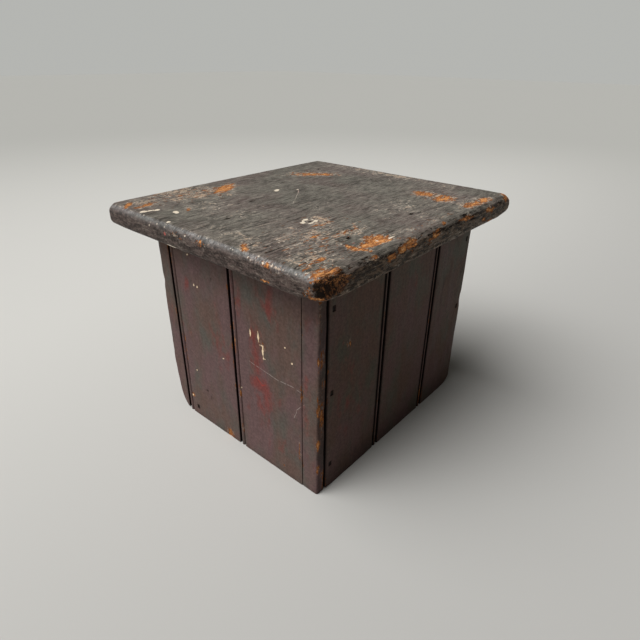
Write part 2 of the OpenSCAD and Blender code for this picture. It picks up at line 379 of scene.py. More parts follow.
class Bench:
    """Adds shader nodes to one tree and wires them, so that a finish reads as a recipe."""

    def __init__(self, tree: bpy.types.NodeTree) -> None:
        """Works on one material's or one group's tree."""
        self.tree = tree

    def feed(self, socket: bpy.types.NodeSocket, value: Wire) -> None:
        """Links a socket, or sets its plain value.

        Args:
            socket: The input to feed.
            value: Another node's output, or a number, vector or colour.
        """
        if isinstance(value, bpy.types.NodeSocket):
            self.tree.links.new(value, socket)
        elif socket.type == "RGBA":
            socket.default_value = (*value, 1.0)
        else:
            socket.default_value = value

    def node(
        self, kind: str, inputs: dict[str | int, Wire] | None = None, **settings: str | bool
    ) -> bpy.types.Node:
        """Adds one node.

        Args:
            kind: Its type, without the leading ShaderNode.
            inputs: Values or links for its sockets, by name or number.
            **settings: Its own properties.

        Returns:
            The node.
        """
        made = self.tree.nodes.new("ShaderNode" + kind)
        for name, value in settings.items():
            setattr(made, name, value)
        for name, value in (inputs or {}).items():
            self.feed(made.inputs[name], value)
        return made

    def math(self, operation: str, *values: Wire) -> bpy.types.NodeSocket:
        """The result of a Math node."""
        return self.node("Math", dict(enumerate(values)), operation=operation).outputs[0]

    def times(self, first: Wire, second: Wire) -> bpy.types.NodeSocket:
        """Two values multiplied."""
        return self.math("MULTIPLY", first, second)

    def larger(self, first: Wire, second: Wire) -> bpy.types.NodeSocket:
        """The larger of two values."""
        return self.math("MAXIMUM", first, second)

    def plus(self, part: Wire, share: Wire, rest: Wire) -> bpy.types.NodeSocket:
        """A share of one value, added to the rest."""
        return self.math("MULTIPLY_ADD", part, share, rest)

    def swing(self, value: Wire) -> bpy.types.NodeSocket:
        """Noise round one half, moved to lie round 0."""
        return self.math("SUBTRACT", value, 0.5)

    def vector(self, operation: str, *values: Wire) -> bpy.types.NodeSocket:
        """The vector that a Vector Math node gives."""
        return self.node("VectorMath", dict(enumerate(values)), operation=operation).outputs[0]

    def measure(self, operation: str, *values: Wire) -> bpy.types.NodeSocket:
        """The number that a Vector Math node gives."""
        return self.node("VectorMath", dict(enumerate(values)), operation=operation).outputs["Value"]

    def ramp(
        self, value: Wire, low: Wire, high: Wire, start: Wire = 0.0, end: Wire = 1.0
    ) -> bpy.types.NodeSocket:
        """A value eased from start at low to end at high."""
        inputs = {"Value": value, "From Min": low, "From Max": high, "To Min": start, "To Max": end}
        return self.node("MapRange", inputs, interpolation_type="SMOOTHSTEP").outputs["Result"]

    def mix(self, factor: Wire, first: Wire, second: Wire, blend: str = "MIX") -> bpy.types.NodeSocket:
        """Mixes two colours.

        Args:
            factor: How much of the second one shows.
            first: The colour below.
            second: The colour above.
            blend: How they mix.

        Returns:
            The mixed colour.
        """
        made = self.node("Mix", data_type="RGBA", blend_type=blend)
        for number, value in ((0, factor), (6, first), (7, second)):
            self.feed(made.inputs[number], value)
        return made.outputs[2]

    def lay(self, mask: Wire, share: Wire, colour: Wire, tone: Wire) -> bpy.types.NodeSocket:
        """A tone laid over a colour, where a mask and by which share it says."""
        return self.mix(self.times(mask, share), colour, tone)

    def shade(self, colour: Wire, amount: Wire) -> bpy.types.NodeSocket:
        """A colour made darker or lighter by a factor."""
        factor = self.node("CombineXYZ", {0: amount, 1: amount, 2: amount}).outputs[0]
        return self.mix(1.0, colour, factor, "MULTIPLY")

    def noise(
        self, place: Wire, scale: float = 1.0, detail: float = 3.0, roughness: float = 0.55,
        distortion: float = 0.0,
    ) -> bpy.types.NodeSocket:
        """A Noise texture's value."""
        inputs = {"Vector": place, "Scale": scale, "Detail": detail, "Roughness": roughness}
        return self.node("TexNoise", inputs | {"Distortion": distortion}).outputs[0]

    def place(self) -> bpy.types.NodeSocket:
        """The piece's own coordinates, in metres."""
        return self.node("TexCoord").outputs["Object"]

    def along(self, place: Wire, axis: Axis) -> bpy.types.NodeSocket:
        """One coordinate of a place."""
        return self.node("SeparateXYZ", {0: place}).outputs[axis.value]

    def mark(self, kind: Wear) -> bpy.types.NodeSocket:
        """One of the wear attributes."""
        return self.node("Attribute", attribute_name=kind.value).outputs["Fac"]

    def group(self, tree: bpy.types.NodeTree, **inputs: Wire) -> bpy.types.bpy_prop_collection:
        """Places a node group.

        Args:
            tree: The group.
            **inputs: What its inputs get, by name.

        Returns:
            Its outputs.
        """
        made = self.tree.nodes.new("ShaderNodeGroup")
        made.node_tree = tree
        for name, value in inputs.items():
            self.feed(made.inputs[name], value)
        return made.outputs

    def bump(self, shader: bpy.types.Node, height: Wire, strength: float, distance_mm: float) -> None:
        """Gives a shader its fine relief."""
        made = self.node("Bump", {"Height": height, "Strength": strength, "Distance": distance_mm * MM})
        self.feed(shader.inputs["Normal"], made.outputs[0])


SOCKETS = {"float": "NodeSocketFloat", "vector": "NodeSocketVector", "color": "NodeSocketColor"}


class Effect:
    """A shader group that several finishes share."""

    def __init__(self, name: str, inputs: dict[str, str], outputs: dict[str, str]) -> None:
        """Makes an empty group.

        Args:
            name: Its name.
            inputs: Its inputs' names, each with a kind of socket.
            outputs: Its outputs' names, each with a kind of socket.
        """
        self.tree = bpy.data.node_groups.new(name, "ShaderNodeTree")
        for in_out, sockets in (("INPUT", inputs), ("OUTPUT", outputs)):
            for label, kind in sockets.items():
                self.tree.interface.new_socket(label, in_out=in_out, socket_type=SOCKETS[kind])
        self.bench = Bench(self.tree)
        self.inputs = self.tree.nodes.new("NodeGroupInput").outputs
        self.outputs = self.tree.nodes.new("NodeGroupOutput").inputs


class Effects:
    """The shared shader groups, each built once."""

    def __init__(self) -> None:
        """Builds them all."""
        self.grain = self._grain()
        self.ragged = self._ragged()
        self.hairline = self._hairline()
        self.specks = self._specks()
        self.wood = self._wood()

    @staticmethod
    def _grain() -> bpy.types.NodeTree:
        """Streaks along the grain. Frequency counts them per metre along each axis.

        Returns:
            The group.
        """
        made = Effect(
            "Grain",
            {"Place": "vector", "Frequency": "vector"},
            {"Streak": "float", "Line": "float", "Crack": "float", "Height": "float"},
        )
        bench = made.bench
        scaled = bench.vector("MULTIPLY", made.inputs["Place"], made.inputs["Frequency"])
        moved = bench.vector("ADD", scaled, (5.3, 2.1, 8.7))
        broad = bench.noise(scaled, detail=4.0, roughness=0.65, distortion=0.3)
        fine = bench.noise(scaled, scale=1.7, detail=3.0, roughness=0.65, distortion=0.4)
        split = bench.noise(moved, scale=1.25, detail=4.0, roughness=0.7, distortion=0.5)
        crack = bench.ramp(split, 0.56, 0.63)
        bench.feed(made.outputs["Streak"], bench.ramp(broad, 0.41, 0.59))
        bench.feed(made.outputs["Line"], bench.ramp(fine, 0.54, 0.62))
        bench.feed(made.outputs["Crack"], crack)
        height = bench.plus(fine, 0.45, bench.times(broad, 0.55))
        bench.feed(made.outputs["Height"], bench.plus(crack, -0.35, height))
        return made.tree

    @staticmethod
    def _ragged() -> bpy.types.NodeTree:
        """A ragged mask where an amount passes one half, with its deeper core and the rim round it.

        Returns:
            The group.
        """
        made = Effect(
            "Ragged patch",
            {"Amount": "float", "Place": "vector", "Frequency": "vector", "Spread": "float"},
            {"Mask": "float", "Core": "float", "Rim": "float"},
        )
        bench = made.bench
        scaled = bench.vector("MULTIPLY", made.inputs["Place"], made.inputs["Frequency"])
        teeth = bench.swing(bench.noise(scaled, detail=5.0, roughness=0.68, distortion=0.5))
        moved = bench.plus(teeth, made.inputs["Spread"], made.inputs["Amount"])
        near = bench.ramp(made.inputs["Amount"], 0.03, 0.16)
        for name, low, high in (("Mask", 0.46, 0.54), ("Core", 0.52, 0.92), ("Rim", 0.32, 0.46)):
            bench.feed(made.outputs[name], bench.times(near, bench.ramp(moved, low, high)))
        return made.tree

    @staticmethod
    def _hairline() -> bpy.types.NodeTree:
        """A thin broken line between two places.

        Returns:
            The group.
        """
        made = Effect(
            "Hairline",
            {"Place": "vector", "Start": "vector", "End": "vector", "Width": "float"},
            {"Mask": "float"},
        )
        bench, place = made.bench, made.inputs["Place"]
        wander = bench.node("TexNoise", {"Vector": place, "Scale": 130.0, "Detail": 2.0}).outputs[1]
        bent = bench.vector("SUBTRACT", wander, (0.5, 0.5, 0.5))
        moved = bench.vector("MULTIPLY_ADD", bent, (0.002, 0.002, 0.002), place)
        reach = bench.vector("SUBTRACT", moved, made.inputs["Start"])
        line = bench.vector("SUBTRACT", made.inputs["End"], made.inputs["Start"])
        along = bench.measure("DOT_PRODUCT", reach, line)
        square = bench.measure("DOT_PRODUCT", line, line)
        share = bench.node("Clamp", {"Value": bench.math("DIVIDE", along, square)}).outputs[0]
        nearest = bench.node("VectorMath", {0: line, "Scale": share}, operation="SCALE").outputs[0]
        half = bench.times(made.inputs["Width"], 0.5)
        off = bench.math("DIVIDE", bench.measure("DISTANCE", reach, nearest), half)
        breaks = bench.ramp(bench.noise(place, scale=420.0, detail=2.0), 0.34, 0.5)
        bench.feed(made.outputs["Mask"], bench.times(bench.ramp(off, 0.6, 1.4, 1.0, 0.0), breaks))
        return made.tree

    @staticmethod
    def _specks() -> bpy.types.NodeTree:
        """Small scattered dots. Share is the part of the cells that hold one.

        Returns:
            The group.
        """
        made = Effect(
            "Specks",
            {"Place": "vector", "Scale": "float", "Share": "float", "Size": "float"},
            {"Mask": "float"},
        )
        bench, place = made.bench, made.inputs["Place"]
        bent = bench.node("TexNoise", {"Vector": place, "Scale": 700.0, "Detail": 1.0}).outputs[1]
        moved = bench.vector("MULTIPLY_ADD", bent, (0.0012, 0.0012, 0.0012), place)
        cells = bench.node("TexVoronoi", {"Vector": moved, "Scale": made.inputs["Scale"]}).outputs
        parts = bench.node("SeparateColor", {"Color": cells["Color"]}).outputs
        chosen = bench.math("LESS_THAN", parts["Red"], made.inputs["Share"])
        size = bench.times(made.inputs["Size"], bench.ramp(parts["Green"], 0.0, 1.0, 0.45, 1.0))
        dot = bench.ramp(bench.math("DIVIDE", cells["Distance"], size), 0.8, 1.1, 1.0, 0.0)
        bench.feed(made.outputs["Mask"], bench.times(chosen, dot))
        return made.tree

    @staticmethod
    def _wood() -> bpy.types.NodeTree:
        """Bare wood from three tones, with its grain as height.

        Returns:
            The group.
        """
        made = Effect(
            "Bare wood",
            {"Place": "vector", "Frequency": "vector", "Pale": "color", "Middle": "color", "Deep": "color"},
            {"Color": "color", "Height": "float"},
        )
        bench = made.bench
        scaled = bench.vector("MULTIPLY", made.inputs["Place"], made.inputs["Frequency"])
        broad = bench.noise(scaled, detail=4.0, roughness=0.6, distortion=0.4)
        fine = bench.noise(scaled, scale=4.3, detail=3.0, roughness=0.65)
        tone = bench.mix(bench.ramp(broad, 0.35, 0.65), made.inputs["Deep"], made.inputs["Middle"])
        pale = bench.lay(bench.ramp(fine, 0.48, 0.68), 0.75, tone, made.inputs["Pale"])
        bench.feed(made.outputs["Color"], pale)
        bench.feed(made.outputs["Height"], bench.plus(fine, 0.6, broad))
        return made.tree


def new_material(name: str) -> tuple[bpy.types.Material, Bench, bpy.types.Node]:
    """Makes a fresh material.

    Args:
        name: Its name.

    Returns:
        The material, a bench on its tree, and its Principled shader.
    """
    material = bpy.data.materials.new(name)
    material.use_nodes = True
    tree = material.node_tree
    return material, Bench(tree), tree.nodes["Principled BSDF"]


@dataclass(frozen=True)
class OldPaint:
    """What both old paints share: the wood under them, and what is scratched or spilt on them."""

    effects: Effects
    scratches: tuple[Scratch, ...] = ()
    splinters: Triple = (440.0, 135.0, 440.0)
    wood_grain: Triple = (300.0, 75.0, 300.0)
    bare_pale: Triple = (0.94, 0.58, 0.29)
    bare_middle: Triple = (0.75, 0.32, 0.105)
    bare_deep: Triple = (0.26, 0.088, 0.028)

    def patch(self, bench: Bench, place: Wire, kind: Wear, spread: float) -> bpy.types.bpy_prop_collection:
        """The outputs of one mark's ragged patch."""
        inputs = {"Amount": bench.mark(kind), "Place": place, "Frequency": self.splinters, "Spread": spread}
        return bench.group(self.effects.ragged, **inputs)

    def bare_wood(self, bench: Bench, place: Wire) -> bpy.types.bpy_prop_collection:
        """The outputs of the wood that shows where the paint is gone."""
        tones = {"Pale": self.bare_pale, "Middle": self.bare_middle, "Deep": self.bare_deep}
        return bench.group(self.effects.wood, Place=place, Frequency=self.wood_grain, **tones)

    def scratched(self, bench: Bench, place: Wire, colour: Wire) -> Wire:
        """Draws the hairlines over a colour.

        Args:
            bench: The material's bench.
            place: The piece's coordinates.
            colour: What lies under them.

        Returns:
            The colour with the hairlines.
        """
        for scratch in self.scratches:
            line = bench.group(
                self.effects.hairline, Place=place, Width=scratch.width * MM,
                Start=tuple(c * MM for c in scratch.start), End=tuple(c * MM for c in scratch.end),
            )
            colour = bench.lay(line["Mask"], scratch.strength, colour, scratch.tone)
        return colour


@dataclass(frozen=True)
class SeatPaint(OldPaint):
    """Near-black paint on the seat board, worn to grey streaks and to orange wood."""

    fibres: Triple = (480.0, 62.0, 480.0)
    strands: Triple = (190.0, 17.0, 190.0)
    creases: Triple = (120.0, 105.0, 400.0)
    dark: Triple = (0.062, 0.053, 0.045)
    moss: Triple = (0.092, 0.088, 0.073)
    plum: Triple = (0.100, 0.071, 0.065)
    side: Triple = (0.068, 0.048, 0.043)
    flank: Triple = (0.088, 0.058, 0.037)
    grey: Triple = (0.35, 0.315, 0.27)
    # Painted highlight: the bluish grey laid on the glossy front and left arrises
    painted_highlight_grey: Triple = (0.26, 0.262, 0.27)
    tan: Triple = (0.60, 0.44, 0.315)
    fleck: Triple = (0.72, 0.62, 0.51)
    red: Triple = (0.36, 0.10, 0.085)
    cream: Triple = (0.88, 0.77, 0.62)
    black: Triple = (0.012, 0.008, 0.006)
    rotten: Triple = (0.085, 0.032, 0.016)
    bump_mm: float = 0.5

    def build(self) -> bpy.types.Material:
        """Makes the material: paint, then what shows through it, then what lies on it.

        Returns:
            The material.
        """
        material, bench, shader = new_material("seat_paint")
        place, upper = bench.place(), bench.mark(Wear.UPPER)
        grain = {
            name: bench.group(self.effects.grain, Place=place, Frequency=getattr(self, name))
            for name in ("fibres", "strands", "creases")
        }
        dusty = bench.vector("MULTIPLY", place, (620.0, 300.0, 620.0))
        dust = bench.swing(bench.noise(dusty, detail=4.0, roughness=0.75))
        colour = self.scratched(bench, place, self._old_paint(bench, place, grain, dust))
        colour = bench.mix(self.patch(bench, place, Wear.TINT, 0.8)["Mask"], colour, self.red)
        wood, bare = self.bare_wood(bench, place), self.patch(bench, place, Wear.BARE, 2.3)
        # A dark rim round each bare patch, strongest on the sides: painted shade at the chip's edge
        colour = bench.lay(bare["Rim"], bench.ramp(upper, 0.2, 0.9, 0.65, 0.25), colour, self.black)
        timber = bench.mix(bench.ramp(bare["Core"], 0.0, 0.7), self.bare_deep, wood["Color"])
        timber = bench.lay(grain["fibres"]["Crack"], 0.7, timber, self.bare_deep)
        colour = self._rot(bench, place, bench.mix(bare["Mask"], colour, timber))
        colour = bench.mix(self.patch(bench, place, Wear.CREAM, 0.9)["Mask"], colour, self.cream)
        # The dirt mark darkens towards black: dark marks and dirt, and with them the painted shade on the
        # right side and along the right edge
        grime_and_shade = self.patch(bench, place, Wear.GRIME_AND_SHADE, 1.6)["Mask"]
        shadow = bench.times(bench.mark(Wear.GRIME_AND_SHADE), 0.45)
        colour = bench.mix(bench.larger(bench.times(grime_and_shade, 0.94), shadow), colour, self.black)
        bench.feed(shader.inputs["Base Color"], colour)
        dull = bench.larger(bare["Mask"], grime_and_shade)
        satin = bench.ramp(dust, -0.15, 0.15, 0.42, 0.60)
        bench.feed(shader.inputs["Roughness"], bench.ramp(dull, 0.0, 1.0, satin, 0.85))
        shader.inputs["Specular IOR Level"].default_value = 0.07
        gloss = bench.times(bench.mark(Wear.POLISH_AND_HIGHLIGHT), bench.ramp(dull, 0.0, 0.6, 1.0, 0.0))
        bench.feed(shader.inputs["Coat Weight"], gloss)
        shader.inputs["Coat Roughness"].default_value = 0.33
        height = bench.plus(wood["Height"], 0.25, grain["fibres"]["Height"])
        height = bench.plus(dust, 0.8, height)
        height = bench.plus(grain["creases"]["Height"], bench.ramp(upper, 0.0, 0.6, 1.6, 0.0), height)
        bench.bump(shader, bench.plus(dull, -0.6, height), 0.7, self.bump_mm)
        return material

    def _old_paint(
        self, bench: Bench, place: Wire, grain: dict[str, bpy.types.bpy_prop_collection], dust: Wire
    ) -> bpy.types.NodeSocket:
        """The paint's colour: dark ground, grey where it is rubbed and a painted bluish highlight on the
        glossy arrises, dark in its cracks.

        Args:
            bench: The material's bench.
            place: The piece's coordinates.
            grain: Fine and broad streaks along the grain, and level creases round the edges.
            dust: Fine noise round 0.

        Returns:
            The colour.
        """
        fibres, strands, creases = grain["fibres"], grain["strands"], grain["creases"]
        upper, rub, polish_and_highlight = bench.mark(Wear.UPPER), bench.mark(Wear.RUB), bench.mark(Wear.POLISH_AND_HIGHLIGHT)
        sides = bench.ramp(upper, 0.0, 0.6, 1.0, 0.0)
        flank = bench.ramp(bench.along(place, Axis.X), 0.1265, 0.1305)
        creased = bench.times(sides, bench.ramp(flank, 0.0, 1.0, 0.62, 1.0))
        mottle = bench.noise(place, scale=60.0, detail=5.0, roughness=0.68)
        drift = bench.noise(bench.vector("ADD", place, (3.1, 0.7, 1.9)), scale=15.0, detail=3.0)
        crumbs = bench.vector("MULTIPLY", place, (300.0, 190.0, 300.0))
        crumbs = bench.swing(bench.noise(crumbs, detail=3.0, roughness=0.8))

        ground = bench.mix(bench.ramp(mottle, 0.38, 0.62), self.dark, self.moss)
        ground = bench.mix(bench.ramp(drift, 0.40, 0.62, 0.0, 0.85), ground, self.plum)
        ground = bench.lay(sides, 0.85, ground, bench.mix(flank, self.side, self.flank))
        worn = bench.plus(fibres["Streak"], 0.28, bench.times(rub, 0.66))
        worn = bench.plus(strands["Streak"], 0.07, worn)
        worn = bench.plus(bench.swing(mottle), 0.6, worn)
        # On the glossy arrises the rubbed grey turns bluish: a painted highlight
        grey = bench.mix(polish_and_highlight, self.grey, self.painted_highlight_grey)
        colour = bench.lay(bench.ramp(worn, 0.0, 1.0), bench.ramp(upper, 0.0, 0.8, 0.13, 0.78), ground, grey)
        lines = bench.times(fibres["Line"], bench.ramp(upper, 0.0, 0.8, 0.06, 0.36))
        ridges = bench.times(bench.times(creases["Line"], creased), 0.30)
        colour = bench.mix(bench.larger(lines, ridges), colour, grey)
        cracks = bench.larger(fibres["Crack"], bench.times(strands["Crack"], 0.35))
        cracks = bench.larger(cracks, bench.times(creases["Crack"], creased))
        colour = bench.lay(cracks, 0.70, colour, self.black)

        rubbed = bench.plus(polish_and_highlight, 0.2, rub)
        strength = bench.ramp(rubbed, 0.2, 0.55, 1.15, 3.3)
        shade = bench.plus(dust, bench.plus(creased, 1.8, strength), 1.0)
        shade = bench.plus(crumbs, strength, shade)
        shade = bench.plus(bench.times(bench.swing(creases["Streak"]), creased), 1.25, shade)
        colour = bench.shade(colour, bench.larger(shade, 0.25))
        through = bench.plus(crumbs, 1.4, bench.plus(dust, 1.7, rub))
        through = bench.plus(fibres["Line"], 0.12, through)
        above = bench.ramp(upper, 0.0, 0.3, 0.35, 1.0)
        colour = bench.lay(bench.ramp(through, 0.72, 0.88, 0.0, 0.8), above, colour, self.tan)
        flecks = bench.group(self.effects.specks, Place=place, Scale=290.0, Share=0.5, Size=0.27)
        shown = bench.times(bench.ramp(rubbed, 0.26, 0.52, 0.0, 0.9), above)
        return bench.lay(flecks["Mask"], shown, colour, self.fleck)

    def _rot(self, bench: Bench, place: Wire, colour: Wire) -> bpy.types.NodeSocket:
        """Lays rotten wood over a colour: near black, with thin curved lines of brighter wood.

        Args:
            bench: The material's bench.
            place: The piece's coordinates.
            colour: What lies round it.

        Returns:
            The colour with the rotten wood.
        """
        rot = self.patch(bench, place, Wear.ROT, 0.9)
        bands = bench.swing(bench.noise(place, scale=260.0, detail=3.0, roughness=0.6, distortion=1.6))
        lines = bench.ramp(bench.math("ABSOLUTE", bands), 0.0, 0.05, 1.0, 0.0)
        clouds = bench.noise(place, scale=150.0, detail=4.0, roughness=0.65)
        high = bench.ramp(bench.along(place, Axis.Z), 0.211, 0.222)
        decayed = bench.mix(bench.ramp(clouds, 0.42, 0.60), self.black, self.rotten)
        bright = bench.plus(high, 0.50, bench.ramp(clouds, 0.42, 0.60, 0.02, 0.42))
        decayed = bench.lay(lines, bright, decayed, self.bare_middle)
        return bench.lay(rot["Mask"], 0.96, colour, decayed)


@dataclass(frozen=True)
class WallPaint(OldPaint):
    """Old satin paint on the match boards: purple brown, with dark red where it is thick."""

    name: str = "wall_paint"
    splinters: Triple = (460.0, 460.0, 170.0)
    wood_grain: Triple = (420.0, 420.0, 90.0)
    bare_pale: Triple = (0.66, 0.36, 0.16)
    bare_middle: Triple = (0.44, 0.165, 0.048)
    bare_deep: Triple = (0.17, 0.058, 0.020)
    brushed: Triple = (300.0, 300.0, 26.0)
    brown: Triple = (0.114, 0.073, 0.061)
    olive: Triple = (0.088, 0.080, 0.069)
    purple: Triple = (0.122, 0.075, 0.074)
    red: Triple = (0.180, 0.042, 0.036)
    pale: Triple = (0.27, 0.19, 0.145)
    cream: Triple = (0.84, 0.66, 0.45)
    black: Triple = (0.006, 0.004, 0.004)
    bump_mm: float = 0.16

    def build(self) -> bpy.types.Material:
        """Makes the material: paint, then what shows through it, then what lies on it.

        Returns:
            The material.
        """
        material, bench, shader = new_material(self.name)
        place = bench.place()
        grain = bench.group(self.effects.grain, Place=place, Frequency=self.brushed)
        drawn = bench.vector("MULTIPLY", place, (1.0, 1.0, 0.5))
        clouds = bench.noise(drawn, scale=50.0, detail=5.0, roughness=0.62)
        other = bench.noise(bench.vector("ADD", drawn, (1.7, 4.1, 2.3)), scale=30.0, detail=4.0)
        stain = bench.vector("ADD", drawn, (6.2, 0.4, 3.8))
        stain = bench.swing(bench.noise(stain, scale=85.0, detail=5.0, roughness=0.6))
        fine = bench.noise(place, scale=430.0, detail=4.0, roughness=0.75)
        colour = bench.mix(bench.ramp(clouds, 0.33, 0.60), self.olive, self.brown)
        colour = bench.mix(bench.ramp(other, 0.40, 0.62), colour, self.purple)
        tint = bench.plus(stain, 2.2, bench.mark(Wear.TINT))
        colour = bench.mix(bench.ramp(tint, 0.34, 1.0, 0.0, 0.8), colour, self.red)
        shade = bench.plus(bench.swing(fine), 1.3, 1.0)
        colour = bench.shade(colour, bench.plus(bench.swing(grain["Streak"]), 0.06, shade))
        rub = bench.plus(bench.swing(fine), 1.5, bench.mark(Wear.RUB))
        colour = bench.mix(bench.ramp(rub, 0.62, 0.90, 0.0, 0.7), colour, self.pale)
        colour = self.scratched(bench, place, colour)
        dots = bench.group(self.effects.specks, Place=place, Scale=95.0, Share=0.09, Size=0.07)
        colour = bench.lay(dots["Mask"], 0.6, colour, self.pale)
        wood, bare = self.bare_wood(bench, place), self.patch(bench, place, Wear.BARE, 1.9)
        timber = bench.mix(bench.ramp(bare["Core"], 0.0, 0.6), self.bare_deep, wood["Color"])
        colour = bench.mix(bare["Mask"], colour, timber)
        colour = bench.mix(self.patch(bench, place, Wear.CREAM, 1.0)["Mask"], colour, self.cream)
        # The dirt mark darkens towards black: soot in the joints and nail holes, and with it the painted
        # shade towards the floor and painted shadow under the seat board
        grime_and_shade = bench.mark(Wear.GRIME_AND_SHADE)
        colour = bench.mix(bench.ramp(grime_and_shade, 0.0, 1.0, 0.0, 0.97), colour, self.black)
        bench.feed(shader.inputs["Base Color"], colour)
        satin = bench.ramp(clouds, 0.3, 0.7, 0.40, 0.54)
        dull = bench.ramp(bench.larger(bare["Mask"], grime_and_shade), 0.0, 1.0, satin, 0.85)
        bench.feed(shader.inputs["Roughness"], dull)
        shader.inputs["Specular IOR Level"].default_value = 0.05
        height = bench.plus(fine, 0.6, grain["Height"])
        bench.bump(shader, bench.plus(bare["Mask"], -0.6, height), 0.5, self.bump_mm)
        return material


@dataclass(frozen=True)
class InnerWood:
    """Bare sawn softwood inside the box, browned and dusty."""

    effects: Effects
    grain: Axis
    pale: Triple = (0.40, 0.27, 0.15)
    middle: Triple = (0.27, 0.165, 0.085)
    deep: Triple = (0.15, 0.088, 0.046)
    dust: Triple = (0.22, 0.18, 0.14)
    bump_mm: float = 0.25

    def build(self) -> bpy.types.Material:
        """Makes the material, with its streaks along the grain's axis.

        Returns:
            The material.
        """
        material, bench, shader = new_material(f"inner_wood_{self.grain.name.lower()}")
        place = bench.place()
        growth = tuple(22.0 if self.grain.value == i else 330.0 for i in range(3))
        saw_rows = tuple(900.0 if self.grain.value == i else 60.0 for i in range(3))
        tones = {"Pale": self.pale, "Middle": self.middle, "Deep": self.deep}
        wood = bench.group(self.effects.wood, Place=place, Frequency=growth, **tones)
        saw = bench.group(self.effects.grain, Place=place, Frequency=saw_rows)
        clouds = bench.noise(place, scale=24.0, detail=4.0, roughness=0.6)
        colour = bench.mix(bench.ramp(clouds, 0.42, 0.7, 0.0, 0.6), wood["Color"], self.dust)
        bench.feed(shader.inputs["Base Color"], bench.lay(saw["Crack"], 0.35, colour, self.deep))
        bench.feed(shader.inputs["Roughness"], bench.ramp(clouds, 0.3, 0.7, 0.72, 0.88))
        bench.bump(shader, bench.plus(saw["Height"], 0.5, wood["Height"]), 0.6, self.bump_mm)
        return material


@dataclass(frozen=True)
class NailIron:
    """Cut nails, rusted dark brown."""

    effects: Effects
    dark: Triple = (0.008, 0.006, 0.005)
    rust: Triple = (0.022, 0.011, 0.007)
    bump_mm: float = 0.15

    def build(self) -> bpy.types.Material:
        """Makes the material.

        Returns:
            The material.
        """
        material, bench, shader = new_material("nail_iron")
        place = bench.place()
        clouds = bench.noise(place, scale=420.0, detail=4.0, roughness=0.65)
        rusty = bench.ramp(clouds, 0.42, 0.62)
        flakes = bench.group(self.effects.specks, Place=place, Scale=900.0, Share=0.4, Size=0.4)
        colour = bench.lay(flakes["Mask"], 0.5, bench.mix(rusty, self.dark, self.rust), self.dark)
        bench.feed(shader.inputs["Base Color"], colour)
        bench.feed(shader.inputs["Roughness"], bench.ramp(rusty, 0.0, 1.0, 0.55, 0.85))
        bench.feed(shader.inputs["Metallic"], bench.ramp(rusty, 0.0, 1.0, 0.4, 0.0))
        shader.inputs["Specular IOR Level"].default_value = 0.15
        bench.bump(shader, clouds, 0.7, self.bump_mm)
        return material


def top_places(*rows: tuple[float, ...], reach: float = 2.0) -> tuple[Patch, ...]:
    """Worn places on the seat board's top.

    Args:
        *rows: One place each: x, y, its half size across and along the grain, and then its
            strength, turn and chip, which may be left out from the end.
        reach: Half its height.

    Returns:
        The places, in the rows' order.
    """
    made = []
    for x, y, half_x, half_y, *rest in rows:
        strength, turn, chip = rest + [1.0, 0.0, 0.0][len(rest):]
        made.append(Patch((x, y, SEAT_TOP), (half_x, half_y, reach), turn, chip, strength))
    return tuple(made)


